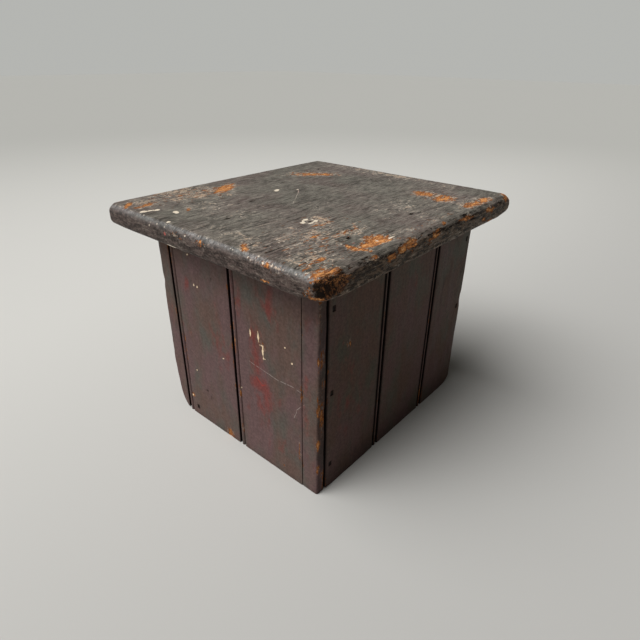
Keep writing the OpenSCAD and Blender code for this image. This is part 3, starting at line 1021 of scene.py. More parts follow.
# Worn places of the seat board, in millimetres. Its right edge lies at x = 131 and its front
# edge at y = -147. Those on its top come first, and then those on its edges
SEAT_BARE = top_places(
    (-96.0, -124.5, 4.2, 11.5, 0.85, 16.0, 0.4),
    (-57.0, -108.0, 1.8, 5.4, 0.8, 50.0, 0.2),
    (-95.0, -37.0, 7.0, 16.0, 1.1, 28.0, 0.5),
    (-76.0, 73.0, 8.5, 26.0, 0.7, -48.0, 0.3),
    (-88.0, 62.0, 3.6, 8.0, 0.7, -30.0, 0.3),
    (-64.0, 84.0, 3.6, 8.0, 0.76, -30.0, 0.3),
    (50.8, -138.8, 2.6, 5.8, 1.25, 51.0, 0.6),
    (56.0, -58.0, 3.6, 11.0, 0.56, -8.0, 0.4),
    (79.0, -47.0, 2.6, 8.0, 0.64, 42.0, 0.2),
    (81.5, -65.0, 3.2, 8.0, 0.62, 0.0, 0.3),
    (72.0, -88.5, 3.2, 4.8, 0.7, 0.0, 0.3),
    (111.0, -85.8, 9.0, 2.8, 1.15, 10.0, 0.7),
    (109.5, -89.0, 4.5, 3.0, 1.1, 0.0, 0.7),
    (111.8, -73.0, 4.4, 10.8, 1.15, 4.0, 0.8),
    (110.4, -61.0, 7.3, 9.6, 1.2, -4.0, 0.7),
    (65.0, 84.0, 9.5, 8.5, 0.95, 0.0, 0.4),
    (87.0, 81.0, 9.0, 10.5, 1.02, 15.0, 0.5),
    (106.0, -120.5, 4.2, 5.6, 0.72, 0.0, 0.5),
    (109.0, -134.0, 3.4, 7.0, 0.54, 20.0, 0.3),
) + (
    Patch((-128.5, -132.5, 224.0), (3.2, 8.0, 3.0), chip=0.4),
    Patch((-108.5, -135.5, 224.8), (2.6, 8.0, 2.5), turn=50.0, chip=0.3),
    Patch((118.0, 82.0, 225.0), (5.4, 17.0, 2.2), turn=-4.0, strength=0.95, chip=0.6),
    Patch((119.5, 103.0, 224.8), (4.6, 13.0, 2.2), turn=8.0, strength=0.9, chip=0.4),
    Patch((126.5, 138.0, 222.5), (5.0, 9.0, 4.0), turn=35.0, chip=0.4),
    Patch((121.0, -137.0, 224.0), (5.5, 7.5, 4.5), turn=-35.0, chip=0.7),
    Patch((125.0, -143.0, 222.0), (4.5, 3.5, 3.0), chip=0.4),
    Patch((125.0, -131.0, 223.5), (4.0, 6.5, 3.5), chip=0.7),
    Patch((129.0, -90.0, 223.9), (2.2, 5.5, 2.0), chip=0.5),
    Patch((130.5, -69.0, 218.6), (2.5, 6.0, 2.3), strength=1.15, chip=0.6),
    Patch((130.5, -73.0, 217.4), (2.5, 3.4, 1.6), chip=0.3),
    Patch((130.3, -57.5, 219.6), (2.5, 4.8, 2.9), strength=1.15, chip=0.7),
    Patch((130.3, -52.5, 221.0), (2.5, 5.6, 2.5), strength=1.15, chip=0.5),
    Patch((129.3, -45.0, 221.0), (2.8, 5.6, 3.5), strength=1.2, chip=0.8),
    Patch((129.0, -40.5, 222.8), (2.8, 4.6, 3.7), strength=1.2, chip=0.8),
    Patch((130.5, -16.0, 217.6), (2.0, 6.5, 1.8), strength=0.95, chip=0.4),
    Patch((130.2, -7.5, 220.0), (2.5, 4.6, 2.7), strength=1.15, chip=0.6),
    Patch((129.8, -3.0, 221.8), (2.5, 4.6, 2.5), strength=1.15, chip=0.6),
    Patch((126.0, 11.5, 224.5), (1.6, 3.0, 1.6), chip=0.4),
    Patch((129.2, 47.0, 221.8), (2.5, 8.2, 1.8), strength=1.15, chip=0.6),
    Patch((130.0, 54.5, 220.4), (2.5, 5.6, 1.8), strength=1.15, chip=0.6),
    Patch((131.0, 82.0, 213.0), (2.0, 5.5, 2.2), strength=0.85, chip=0.4),
    Patch((130.6, 91.0, 220.6), (2.2, 6.0, 2.4), strength=0.95, chip=0.5),
    Patch((130.8, 97.0, 218.4), (2.0, 5.5, 2.0), strength=0.95, chip=0.3),
    Patch((130.4, 98.0, 208.6), (2.0, 6.5, 1.4), strength=0.85, chip=0.2),
    Patch((119.0, -147.0, 213.0), (3.4, 2.0, 3.6), strength=0.62, chip=0.4),
    Patch((128.0, -145.5, 208.8), (7.5, 4.0, 3.0), strength=1.1, chip=0.3),
    Patch((80.0, -147.0, 209.8), (3.8, 2.0, 1.2), strength=0.8, chip=0.2),
    Patch((80.5, -146.0, 221.5), (3.4, 2.5, 1.6), strength=0.75, chip=0.3),
    Patch((9.0, -147.0, 219.5), (2.4, 2.0, 2.2), strength=0.75, chip=0.2),
)
SEAT_SPECKLED = top_places(
    (80.0, -92.0, 42.0, 52.0, 0.32),
    (-104.0, -82.0, 26.0, 48.0, 0.39),
    (-92.0, -60.0, 22.0, 20.0, 0.42),
    (-76.0, 74.0, 26.0, 24.0, 0.30),
    (78.0, 84.0, 34.0, 24.0, 0.33),
    (48.0, -58.0, 16.0, 15.0, 0.34),
    (106.0, -128.0, 20.0, 18.0, 0.36),
    reach=2.5,
) + (
    Patch((118.0, 0.0, 224.5), (7.0, 130.0, 2.5), strength=0.30),
    Patch((84.0, -147.0, 221.5), (18.0, 3.0, 3.5), strength=0.36),
    Patch((8.0, -146.5, 220.5), (16.0, 3.0, 3.0), strength=0.34),
    Patch((-24.0, -146.5, 219.5), (14.0, 3.0, 3.0), strength=0.32),
)
SEAT_TAN = top_places(
    (-94.0, -54.0, 34.0, 20.0, 0.92, 10.0),
    (-90.0, -74.0, 14.0, 14.0, 1.08),
    (-92.0, -94.0, 13.0, 11.0, 1.08),
    (-118.0, -76.0, 14.0, 34.0),
    (-104.0, -120.0, 22.0, 16.0, 0.9),
    (-76.0, 73.0, 12.0, 34.0, 1.0, -48.0),
    (50.0, -57.0, 16.0, 16.0, 0.85),
    (45.0, -51.0, 14.0, 6.0),
    (56.0, -58.0, 6.0, 14.0),
    (81.0, -62.0, 6.0, 14.0, 0.95),
    (56.0, -102.0, 5.0, 22.0, 0.76),
    (47.0, -85.0, 7.0, 5.0, 0.85),
    (64.0, -84.0, 9.0, 8.0, 0.85),
    (94.0, -136.0, 13.0, 4.0, 0.95),
    (54.0, -132.0, 6.0, 4.0, 1.0, -50.0),
    (74.0, -86.0, 36.0, 52.0, 0.78),
    (88.0, -60.0, 16.0, 28.0, 0.8),
    (80.0, 30.0, 56.0, 56.0, 0.62),
    (100.0, 50.0, 30.0, 40.0, 0.5),
    (100.0, -122.0, 28.0, 24.0, 0.85),
    (30.0, -126.0, 60.0, 18.0, 0.74),
    (-10.0, -90.0, 60.0, 50.0, 0.58),
    (-48.0, -92.0, 44.0, 40.0, 0.66),
    (22.0, -26.0, 50.0, 44.0, 0.54),
    (114.0, -58.0, 8.0, 40.0, 0.85),
    (117.0, 20.0, 6.0, 60.0, 0.7),
    (112.0, 84.0, 13.0, 30.0, 0.85),
    (76.0, 83.0, 26.0, 18.0, 0.85, 10.0),
    (68.0, 128.0, 9.0, 10.0, 0.9),
    (-20.0, 134.0, 100.0, 16.0, 0.8),
    reach=3.0,
) + (
    Patch((-130.0, -68.0, 222.5), (5.0, 34.0, 5.0), strength=1.2),
    Patch((84.0, -147.0, 222.0), (20.0, 4.0, 3.5)),
    Patch((10.0, -146.5, 220.5), (14.0, 3.0, 2.6)),
    Patch((-24.0, -146.0, 219.0), (12.0, 4.0, 2.6)),
)
SEAT_CREAM = top_places(
    (-79.0, -138.5, 2.6, 3.6),
    (-77.6, -133.0, 1.6, 4.4, 1.0, -10.0),
    (-75.5, -127.5, 2.4, 2.8),
    (-58.0, -120.4, 4.2, 2.6, 1.0, -20.0),
    (-50.5, -6.6, 2.2, 4.6, 1.0, 28.0),
    (-37.6, 10.6, 1.3, 1.8),
    (38.2, -60.4, 1.9, 3.0, 1.05, 12.0),
    (41.6, -56.4, 1.9, 1.4, 0.9, 15.0),
    (46.4, -57.4, 2.1, 2.6, 1.1),
    (47.8, -64.6, 1.6, 3.0, 1.05),
    (42.6, -68.4, 2.2, 2.4, 1.1, -30.0),
    (39.4, -65.0, 1.3, 1.9, 0.85),
    (33.5, -62.0, 0.9, 1.8, 0.8),
    (111.0, -61.5, 1.5, 1.9),
    (118.4, -14.4, 1.0, 2.0, 0.75),
    (115.3, -50.0, 1.2, 4.4, 0.9),
) + (
    Patch((-38.5, -140.5, 224.8), (1.8, 1.9, 2.0)),
    Patch((-37.6, -147.0, 222.0), (1.2, 2.2, 1.1), strength=0.8),
    Patch((-59.4, -147.0, 218.5), (0.8, 2.0, 2.4), strength=0.8),
    Patch((108.0, -133.0, 224.8), (1.3, 1.6, 2.0), strength=0.7),
    Patch((116.0, -142.5, 223.0), (2.0, 2.2, 2.0), strength=0.85),
    Patch((76.9, -146.5, 222.0), (1.3, 1.8, 1.3), strength=0.8),
    Patch((85.0, -146.0, 223.4), (1.4, 1.8, 1.1), strength=0.85),
    Patch((-10.1, -146.6, 220.5), (1.0, 1.8, 1.3), strength=0.8),
    Patch((-30.0, -146.8, 207.2), (7.0, 2.0, 0.7)),
)
SEAT_DARK = top_places(
    (-38.0, -50.5, 1.5, 4.4, 1.0, -14.0, 0.5),
    (-11.0, -102.0, 1.6, 4.5, 0.8, 0.0, 0.2),
    (-116.0, -61.0, 1.0, 4.0, 1.0, 0.0, 0.3),
    (43.6, -62.4, 2.2, 3.4, 0.7),
    (70.8, -130.0, 1.0, 8.0, 1.0, 0.0, 0.3),
    (61.0, -126.0, 1.3, 3.4, 0.75, -20.0),
) + (
    Patch((127.6, 45.0, 224.2), (1.8, 6.0, 1.2), chip=0.5),
    Patch((130.6, 58.0, 218.6), (2.0, 6.0, 0.9), chip=0.3),
    Patch((128.5, 116.0, 221.0), (3.0, 8.0, 1.8), strength=0.8),
)
SEAT_RED = top_places((103.0, -79.5, 1.6, 2.6, 0.75)) + (Patch((-37.0, -147.0, 216.7), (1.8, 2.0, 1.8)),)
SOOT_LINE = (0.008, 0.005, 0.004)
SEAT_SCRATCHES = (
    Scratch((130.4, -120.0, 220.6), (129.2, -98.0, 222.0), 1.0, SOOT_LINE, 0.85),
    Scratch((129.2, -98.0, 222.0), (129.2, -80.0, 221.6), 0.9, SOOT_LINE, 0.85),
    Scratch((130.3, -116.0, 217.4), (130.3, -96.0, 218.2), 0.8, SOOT_LINE, 0.6),
    Scratch((129.8, 12.0, 221.0), (129.8, 34.0, 220.0), 1.0, SOOT_LINE, 0.8),
    Scratch((130.3, 60.0, 219.0), (130.3, 76.0, 217.0), 1.0, SOOT_LINE, 0.8),
    Scratch((130.2, -30.0, 215.0), (130.2, -16.0, 213.4), 0.8, SOOT_LINE, 0.6),
    Scratch((74.0, -92.0, 224.6), (74.5, -123.0, 224.6), 1.1, (0.55, 0.49, 0.42), 0.8),
    Scratch((56.2, -84.0, 224.6), (55.0, -113.0, 224.6), 1.1, (0.48, 0.36, 0.29), 0.7),
    Scratch((57.6, -92.0, 224.6), (57.0, -118.0, 224.6), 1.1, SOOT_LINE, 0.5),
    Scratch((66.0, -100.0, 224.6), (65.4, -128.0, 224.6), 1.1, SOOT_LINE, 0.5),
    Scratch((62.0, -82.0, 224.6), (61.0, -120.0, 224.6), 1.0, (0.50, 0.38, 0.29), 0.7),
    Scratch((40.0, -90.0, 224.6), (42.0, -128.0, 224.6), 1.0, (0.44, 0.36, 0.30), 0.55),
    Scratch((24.0, -70.0, 224.6), (22.0, -112.0, 224.6), 1.0, (0.44, 0.36, 0.30), 0.5),
    Scratch((-39.5, 13.0, 224.6), (-29.0, 2.0, 224.6), 1.2, (0.50, 0.38, 0.33), 0.8),
    Scratch((-29.0, 2.0, 224.6), (-3.0, -33.0, 224.6), 0.8, (0.46, 0.40, 0.34), 0.65),
    Scratch((64.0, -60.0, 224.6), (92.0, -20.0, 224.6), 0.7, strength=0.4),
    Scratch((0.0, 118.0, 224.6), (13.0, 104.0, 224.6), 0.9, strength=0.5),
)


@dataclass(frozen=True)
class WornCorner:
    """A corner of the seat board, rounded over more than its edges, above and below."""

    right: bool
    rear: bool
    above: float
    below: float
    reach: float = 17.0


SEAT_CORNERS = (
    WornCorner(right=True, rear=False, above=2.5, below=6.5),
    WornCorner(right=True, rear=True, above=2.0, below=5.0),
    WornCorner(right=False, rear=False, above=1.5, below=2.0),
    WornCorner(right=False, rear=True, above=1.5, below=4.0),
)


@dataclass
class SeatBoard:
    """The seat board: its rounded edges, its chips, its rotted near corner and its nail holes."""

    finish: bpy.types.Material
    under_finish: bpy.types.Material
    corner_r: float = 9.0
    top_r: float = 6.5
    under_r: float = 3.5
    step: float = 1.9
    open_nails: tuple[tuple[float, float], ...] = ((-89.0, 101.5), (93.0, 14.25), (93.0, -73.0))
    filled_nails: tuple[tuple[float, float], ...] = ((93.0, 101.5), (-89.0, 14.25), (-89.0, -73.0))

    def blank(self) -> Workpiece:
        """The board as it was new: a block with rounded corners and edges.

        Returns:
            The board, cut finely enough to be worn.
        """
        low, high = box_mm("seat_board")
        piece = Workpiece.block(low, high)
        edges = piece.mesh.edges
        piece.round_off([e for e in edges if abs(e.verts[0].co.z - e.verts[1].co.z) > 1.0], self.corner_r, 8)
        piece.round_off([e for e in edges if all(v.co.z > high.z - TOUCH for v in e.verts)], self.top_r, 8)
        piece.round_off([e for e in edges if all(v.co.z < low.z + TOUCH for v in e.verts)], self.under_r, 5)
        piece.grid(Axis.Z, low.z + self.under_r, high.z - self.top_r, self.step)
        piece.grid(Axis.X, low.x, high.x, self.step)
        piece.grid(Axis.Y, low.y, high.y, self.step)
        for x, y in self.open_nails:
            piece.refine((x, y, high.z), (Axis.X, Axis.Y))
        return piece

    def weather(self, piece: Workpiece) -> Weather:
        """Everything that age has done to the board, with painted shade on its right side and edge and
        painted highlights on its arrises.

        Args:
            piece: The new board.

        Returns:
            The wear at each of its points.
        """
        low, high = box_mm("seat_board")
        w = piece.look_over()
        p, n = w.points, w.normals
        side = np.hypot(n[:, 0], n[:, 1])
        arris = np.clip(2.0 * np.abs(n[:, 2]) * side, 0.0, 1.0) * (p[:, 2] > high.z - 8.0)
        upper = smooth_step(0.35, 0.9, n[:, 2])
        ends = smooth_step(0.5, 0.9, np.abs(n[:, 1]))
        right = smooth_step(0.15, 0.6, n[:, 0])
        swell = rough(p, (70.0, 95.0, 70.0), 2)
        splinter = rough(p, (2.6, 8.0, 2.6), 3, 11.0)
        nibble = rough(p, (9.0, 14.0, 9.0), 3, 23.0)
        ridges = rough(p, (3.4, 60.0, 3.4), 3, 37.0)
        wrinkles = rough(p, (3.0, 11.0, 3.0), 3, 83.0)
        w.depth += 0.20 + 0.20 * swell + 0.09 * (1.0 + ridges) * upper
        w.depth += arris * (0.2 + 0.6 * np.maximum(nibble, 0.0))
        w.depth += 0.08 * (1.0 + rough(p, (7.0, 3.0, 1.6), 2, 51.0)) * ends
        w.depth += 0.30 * (1.0 + wrinkles) * right
        w.raise_mark(Wear.UPPER, upper)
        # Gloss along the arrises that face the front and the left, which also lays the painted highlight
        # into their colour
        w.raise_mark(Wear.POLISH_AND_HIGHLIGHT, arris * smooth_step(0.1, 0.6, np.maximum(-n[:, 1], -n[:, 0])))
        w.raise_mark(Wear.RUB, np.clip(0.16 * arris + 0.24 * upper * (1.0 + 0.7 * swell), 0.0, 1.0))
        soft = Weather(p, n)
        soft.add_patches(Wear.RUB, SEAT_TAN, 0.15 * nibble)
        w.raise_mark(Wear.RUB, 0.8 * smooth_step(0.05, 1.0, soft.marks[Wear.RUB]))
        w.add_patches(Wear.BARE, SEAT_SPECKLED, 0.04 * nibble)
        w.add_patches(Wear.BARE, SEAT_BARE, 0.2 * splinter)
        flecks = arris * right * smooth_step(-0.2, 0.5, nibble)
        w.raise_mark(Wear.BARE, 0.28 * flecks + 0.12 * arris * smooth_step(-0.1, 0.5, nibble))
        w.add_patches(Wear.CREAM, SEAT_CREAM, 0.12 * splinter)
        w.add_patches(Wear.GRIME_AND_SHADE, SEAT_DARK, 0.2 * splinter)
        w.add_patches(Wear.TINT, SEAT_RED, 0.1 * splinter)
        self._rot_near_corner(w, low, high)
        # Painted shade on the right side, which faces away from the light: a little all over and more in a
        # band under the top arris, mottled by the wrinkles in the paint
        painted_shade_band = np.exp(-((p[:, 2] - high.z + 2.6) / 2.4) ** 2)
        w.raise_mark(Wear.GRIME_AND_SHADE, right * np.clip(0.08 + 0.30 * painted_shade_band + 0.44 * wrinkles, 0.0, 0.6))
        # Painted shade on the top along the right edge
        painted_edge_shade = smooth_step(high.x - 11.0, high.x - 5.0, p[:, 0] + 2.0 * nibble)
        w.raise_mark(Wear.GRIME_AND_SHADE, 0.34 * upper * painted_edge_shade)
        # A pale line along the foot of the right side: a painted highlight
        foot = (1.0 - smooth_step(1.0, 3.4, np.abs(p[:, 2] - low.z - 3.0))) * (side > 0.4)
        w.raise_mark(Wear.RUB, 0.50 * foot * right * (1.0 + 0.5 * nibble))
        self._round_corners(w, low, high)
        for x, y in self.filled_nails:
            away = np.hypot((p[:, 0] - x) / 2.6, (p[:, 1] - y) / 3.4)
            w.depth += 0.25 * (1.0 - smooth_step(0.3, 1.1, away)) * upper
        for x, y in self.open_nails:
            w.sink_nail((x, y, high.z), 0, 1)
        return w

    @staticmethod
    def _rot_near_corner(w: Weather, low: Vector, high: Vector) -> None:
        """Rots the corner between the front and the right edge: a dark hollow in worn wood.

        Args:
            w: The board's wear, which this adds to.
            low: The board's lowest corner.
            high: The board's highest corner.
        """
        p = w.points
        lumps = rough(p, (2.8, 2.8, 2.8), 3, 71.0)
        hollow = Patch((high.x - 1.5, low.y + 6.0, 216.0), (7.2, 9.8, 6.4)).amount(p)
        core = Patch((high.x - 3.0, low.y + 3.5, 216.5), (6.5, 7.0, 6.0)).amount(p)
        around = Patch((high.x - 0.5, low.y + 10.0, 217.5), (8.5, 18.0, 9.5)).amount(p)
        rotted = smooth_step(0.30, 0.78, hollow + 0.14 * lumps)
        w.depth += 1.6 * rotted + 0.6 * rotted * (1.0 + lumps)
        w.depth += 0.35 * smooth_step(0.3, 0.8, around) * (1.0 + lumps)
        w.raise_mark(Wear.ROT, np.clip(around + 0.12 * lumps, 0.0, 1.0) * (around > 0.0))
        w.raise_mark(Wear.GRIME_AND_SHADE, smooth_step(0.30, 0.62, hollow) * np.clip(0.42 - 0.55 * lumps, 0.0, 1.0))
        w.raise_mark(Wear.GRIME_AND_SHADE, smooth_step(0.20, 0.55, core) * np.clip(0.68 - 0.7 * lumps, 0.0, 1.0))

    def _round_corners(self, w: Weather, low: Vector, high: Vector) -> None:
        """Pushes the points near each corner onto a larger rounding, above and below.

        Args:
            w: The board's wear, which this adds to.
            low: The board's lowest corner.
            high: The board's highest corner.
        """
        p = w.points
        centre, half = np.array((low + high) / 2)[:2], np.array((high - low) / 2)[:2]
        away = p[:, :2] - centre
        beyond = np.abs(away) - (half - self.corner_r)
        out = np.maximum(beyond, 0.0)
        length = np.linalg.norm(out, axis=1)
        inset = self.corner_r - length - np.minimum(beyond.max(1), 0.0)
        nearest = (beyond == beyond.max(1)[:, None]).astype(float)
        outward = np.where(length[:, None] > 1e-6, out / np.maximum(length, 1e-6)[:, None], nearest)
        outward *= np.sign(away)
        extra = np.zeros((2, len(p)))
        for corner in SEAT_CORNERS:
            place = centre + half * np.array((1.0 if corner.right else -1.0, 1.0 if corner.rear else -1.0))
            weight = np.exp(-(np.linalg.norm(p[:, :2] - place, axis=1) / corner.reach) ** 2)
            extra += np.array((corner.above, corner.below))[:, None] * weight
        for radius, height, up in (
            (self.top_r + extra[0], high.z - p[:, 2], -1.0),
            (self.under_r + extra[1], p[:, 2] - low.z, 1.0),
        ):
            i, h = radius - inset, radius - height
            reach = np.hypot(i, h)
            scale = np.where((i > 0.0) & (h > 0.0) & (reach > radius), radius / np.maximum(reach, 1e-6), 1.0)
            w.shift[:, :2] -= outward * (i * (1.0 - scale))[:, None]
            w.shift[:, 2] += up * h * (1.0 - scale)

    def build(self) -> bpy.types.Object:
        """Makes the seat board in place of its construction node.

        Returns:
            The worn board.
        """
        piece = self.blank()
        piece.wear_down(self.weather(piece))
        low = box_mm("seat_board")[0]
        inner_low, inner_high = box_mm("front_board_1")[0], box_mm("right_board_3")[1]

        def choose(face: bmesh.types.BMFace) -> int:
            """Picks bare wood under the board, within the box, and paint elsewhere.

            Args:
                face: A face of the board.

            Returns:
                The number of its material.
            """
            middle = face.calc_center_median()
            covered = inner_low.x < middle.x < inner_high.x and inner_low.y < middle.y < inner_high.y
            return 1 if middle.z < low.z + 1.5 and covered else 0

        return piece.finish("seat_board", "_worn", "seat_paint", [self.finish, self.under_finish], choose)


class Side(Enum):
    """The four walls."""

    FRONT = "front"
    RIGHT = "right"
    LEFT = "left"
    BACK = "back"

    def axis(self) -> Axis:
        """The axis that the wall runs along."""
        return Axis.X if self in (Side.FRONT, Side.BACK) else Axis.Y


@dataclass(frozen=True)
class WornFoot:
    """A lower corner of a wall, worn to an elliptical curve, in the wall's own plane."""

    along: float
    inward: float
    width: float
    height: float


@dataclass(frozen=True)
class Nail:
    """A cut nail in a wall: its place along the wall and its height, and whether it shows."""

    along: float
    height: float
    shown: bool = True


# Where each wall's outer face lies, and how dark each wall is made: dirt in the quirks beside the beads and
# along the joints, painted shade towards the floor and painted shadow under the seat board
WALL_FACE = {Side.FRONT: -118.0, Side.RIGHT: 104.0, Side.LEFT: -100.0, Side.BACK: 122.0}
QUIRK_SOOT = {Side.FRONT: 0.25, Side.RIGHT: 1.0, Side.LEFT: 0.8, Side.BACK: 0.8}
JOINT_SMEAR = {Side.FRONT: 0.30, Side.RIGHT: 0.85, Side.LEFT: 0.6, Side.BACK: 0.6}
PAINTED_FOOT_SHADE = {Side.FRONT: 0.08, Side.RIGHT: 0.42, Side.LEFT: 0.25, Side.BACK: 0.25}
PAINTED_SEAT_SHADOW = {Side.FRONT: 0.30, Side.RIGHT: 0.06, Side.LEFT: 0.15, Side.BACK: 0.15}


def wall_places(side: Side, *rows: tuple[float, ...], reach: float = 2.0) -> tuple[Patch, ...]:
    """Worn places on a wall's outer face.

    Args:
        side: The wall.
        *rows: One place each: where it is along the wall, its height, its half width and its
            half height, and then its strength and chip, which may be left out from the end.
        reach: Half its depth into the wall.

    Returns:
        The places, in the rows' order.
    """
    made = []
    for along, height, half_w, half_h, *rest in rows:
        strength, chip = rest + [1.0, 0.0][len(rest):]
        place, half = (along, WALL_FACE[side], height), (half_w, reach, half_h)
        if side.axis() is Axis.Y:
            place, half = (WALL_FACE[side], along, height), (reach, half_w, half_h)
        made.append(Patch(place, half, chip=chip, strength=strength))
    return tuple(made)


WALL_BARE = {
    Side.FRONT: wall_places(
        Side.FRONT,
        (-73.5, 22.5, 3.6, 2.4, 1.0, 0.3),
        (82.8, 40.0, 1.0, 12.0, 0.62),
        (63.0, 9.0, 3.0, 2.2, 0.6),
        (26.4, 137.0, 1.7, 5.6, 0.7),
        (36.4, 136.0, 1.7, 5.8, 0.7),
        (41.8, 126.0, 2.6, 9.5, 0.72),
    ) + (
        Patch((-13.3, -118.0, 3.5), (4.5, 3.0, 5.5), chip=0.3),
        Patch((104.0, -112.5, 84.0), (2.0, 2.4, 9.0), chip=0.5),
        Patch((103.8, -117.0, 57.0), (1.6, 1.4, 5.0), chip=0.4),
        Patch((104.0, -111.5, 119.0), (2.0, 1.4, 5.5), chip=0.3),
        Patch((103.8, -117.5, 92.0), (1.0, 1.4, 3.5), chip=0.3),
        Patch((103.8, -117.5, 140.0), (1.0, 1.4, 3.0), chip=0.3),
        Patch((103.8, -117.0, 30.0), (1.2, 1.2, 4.5), chip=0.3),
        Patch((104.0, -116.0, 190.0), (1.5, 1.8, 4.0), chip=0.3),
        Patch((6.6, -117.0, 66.0), (1.4, 2.0, 6.0), strength=0.8),
        Patch((6.4, -117.0, 22.0), (1.2, 2.0, 5.0), strength=0.8),
    ),
    Side.RIGHT: wall_places(Side.RIGHT, (-82.0, 141.5, 3.6, 3.2, 0.8)) + (
        Patch((103.0, 52.0, 17.0), (3.0, 1.6, 13.0)),
        Patch((103.0, 57.5, 12.0), (3.0, 1.2, 10.0), strength=0.9),
    ),
    Side.LEFT: wall_places(
        Side.LEFT,
        (-60.0, 60.0, 3.0, 4.0, 1.0, 0.3),
        (40.0, 118.0, 2.2, 5.0, 1.0, 0.3),
        (90.0, 12.0, 5.0, 6.0, 1.0, 0.3),
    ),
    Side.BACK: wall_places(
        Side.BACK,
        (-20.0, 96.0, 2.4, 5.0, 1.0, 0.3),
        (30.0, 8.0, 5.0, 6.0, 1.0, 0.3),
    ),
}
WALL_CREAM = {
    Side.FRONT: wall_places(
        Side.FRONT,
        (-74.5, 21.5, 1.6, 1.2),
        (-14.0, 93.0, 1.5, 1.3),
        (-10.0, 95.0, 1.0, 0.8, 0.8),
        (-60.5, 59.5, 1.5, 1.2, 0.8),
        (-48.0, 158.5, 1.2, 1.9, 0.8),
        (-43.0, 158.5, 0.9, 1.5, 0.8),
        (-52.5, 187.0, 1.6, 1.2, 0.8),
        (26.0, 137.5, 0.9, 4.4),
        (36.0, 136.5, 0.9, 4.6),
        (42.5, 134.5, 0.9, 2.6),
        (40.5, 130.0, 1.9, 1.4),
        (41.0, 124.0, 1.1, 5.2),
        (42.4, 117.5, 1.4, 1.8),
        (10.0, 72.0, 1.3, 1.5, 0.8),
        (68.0, 138.5, 1.6, 0.8, 0.7),
        (75.5, 127.0, 1.0, 0.8, 0.7),
    ),
    Side.RIGHT: (),
    Side.LEFT: wall_places(Side.LEFT, (-20.0, 88.0, 0.8, 2.6)),
    Side.BACK: (),
}
WALL_RED = {
    Side.FRONT: wall_places(
        Side.FRONT,
        (50.0, 172.0, 11.0, 15.0),
        (34.0, 120.0, 10.0, 28.0, 0.9),
        (36.0, 86.0, 15.0, 10.0),
        (42.0, 70.0, 18.0, 26.0, 0.8),
        (56.0, 32.0, 12.0, 14.0, 0.75),
        (12.0, 165.0, 5.0, 30.0, 0.7),
        (-16.0, 112.0, 12.0, 26.0, 0.75),
        (-61.0, 152.0, 6.0, 12.0, 0.8),
        (-70.0, 120.0, 8.0, 40.0, 0.35),
        (94.0, 160.0, 9.0, 22.0, 0.42),
        (94.0, 80.0, 8.0, 60.0, 0.5),
        (-90.0, 130.0, 8.0, 30.0, 0.35),
        reach=4.0,
    ),
    Side.RIGHT: wall_places(
        Side.RIGHT, (-78.0, 90.0, 18.0, 50.0, 0.45), (20.0, 165.0, 10.0, 26.0, 0.45), reach=4.0
    ),
    Side.LEFT: wall_places(
        Side.LEFT, (-50.0, 120.0, 22.0, 60.0, 0.7), (60.0, 80.0, 18.0, 50.0, 0.7), reach=4.0
    ),
    Side.BACK: wall_places(Side.BACK, (0.0, 120.0, 26.0, 60.0, 0.6), reach=4.0),
}
# Dark marks and nail holes on the walls, and on the front two broad patches of painted shadow under the seat
# board
WALL_DARK_AND_SHADOW = {
    Side.FRONT: wall_places(
        Side.FRONT,
        (-46.5, 40.8, 1.4, 1.6, 1.0, 0.5),
        (-39.6, 34.8, 1.1, 1.4, 1.0, 0.4),
        (-20.9, 171.5, 0.9, 1.2, 1.0, 0.3),
    ) + wall_places(
        # Painted shadow under the seat board's overhang
        Side.FRONT, (47.0, 190.0, 38.0, 15.0, 0.38), (96.0, 186.0, 11.0, 20.0, 0.45), reach=3.0
    ),
    Side.RIGHT: wall_places(Side.RIGHT, (121.5, 110.0, 2.0, 9.0, 1.0, 0.6), reach=2.5),
    Side.LEFT: wall_places(Side.LEFT, (10.0, 30.0, 1.4, 1.6, 1.0, 0.4)),
    Side.BACK: (),
}
PALE_LINE = (0.34, 0.29, 0.27)
RED_LINE = (0.32, 0.045, 0.035)
FRONT_SCRATCHES = (
    Scratch((22.7, -118.0, 106.8), (59.9, -118.0, 103.0), 0.75, PALE_LINE),
    Scratch((59.9, -118.0, 103.0), (76.0, -118.0, 104.5), 0.75, PALE_LINE),
    Scratch((76.0, -118.0, 104.5), (86.3, -118.0, 102.7), 0.65, PALE_LINE),
    Scratch((88.4, -118.0, 92.7), (80.4, -118.0, 83.3), 0.6, PALE_LINE),
    Scratch((80.4, -118.0, 83.3), (76.8, -118.0, 72.7), 0.6, PALE_LINE),
    Scratch((31.0, -118.0, 94.0), (38.0, -118.0, 87.5), 1.1, RED_LINE, 0.8),
    Scratch((38.0, -118.0, 87.5), (43.0, -118.0, 91.0), 1.0, RED_LINE, 0.8),
)


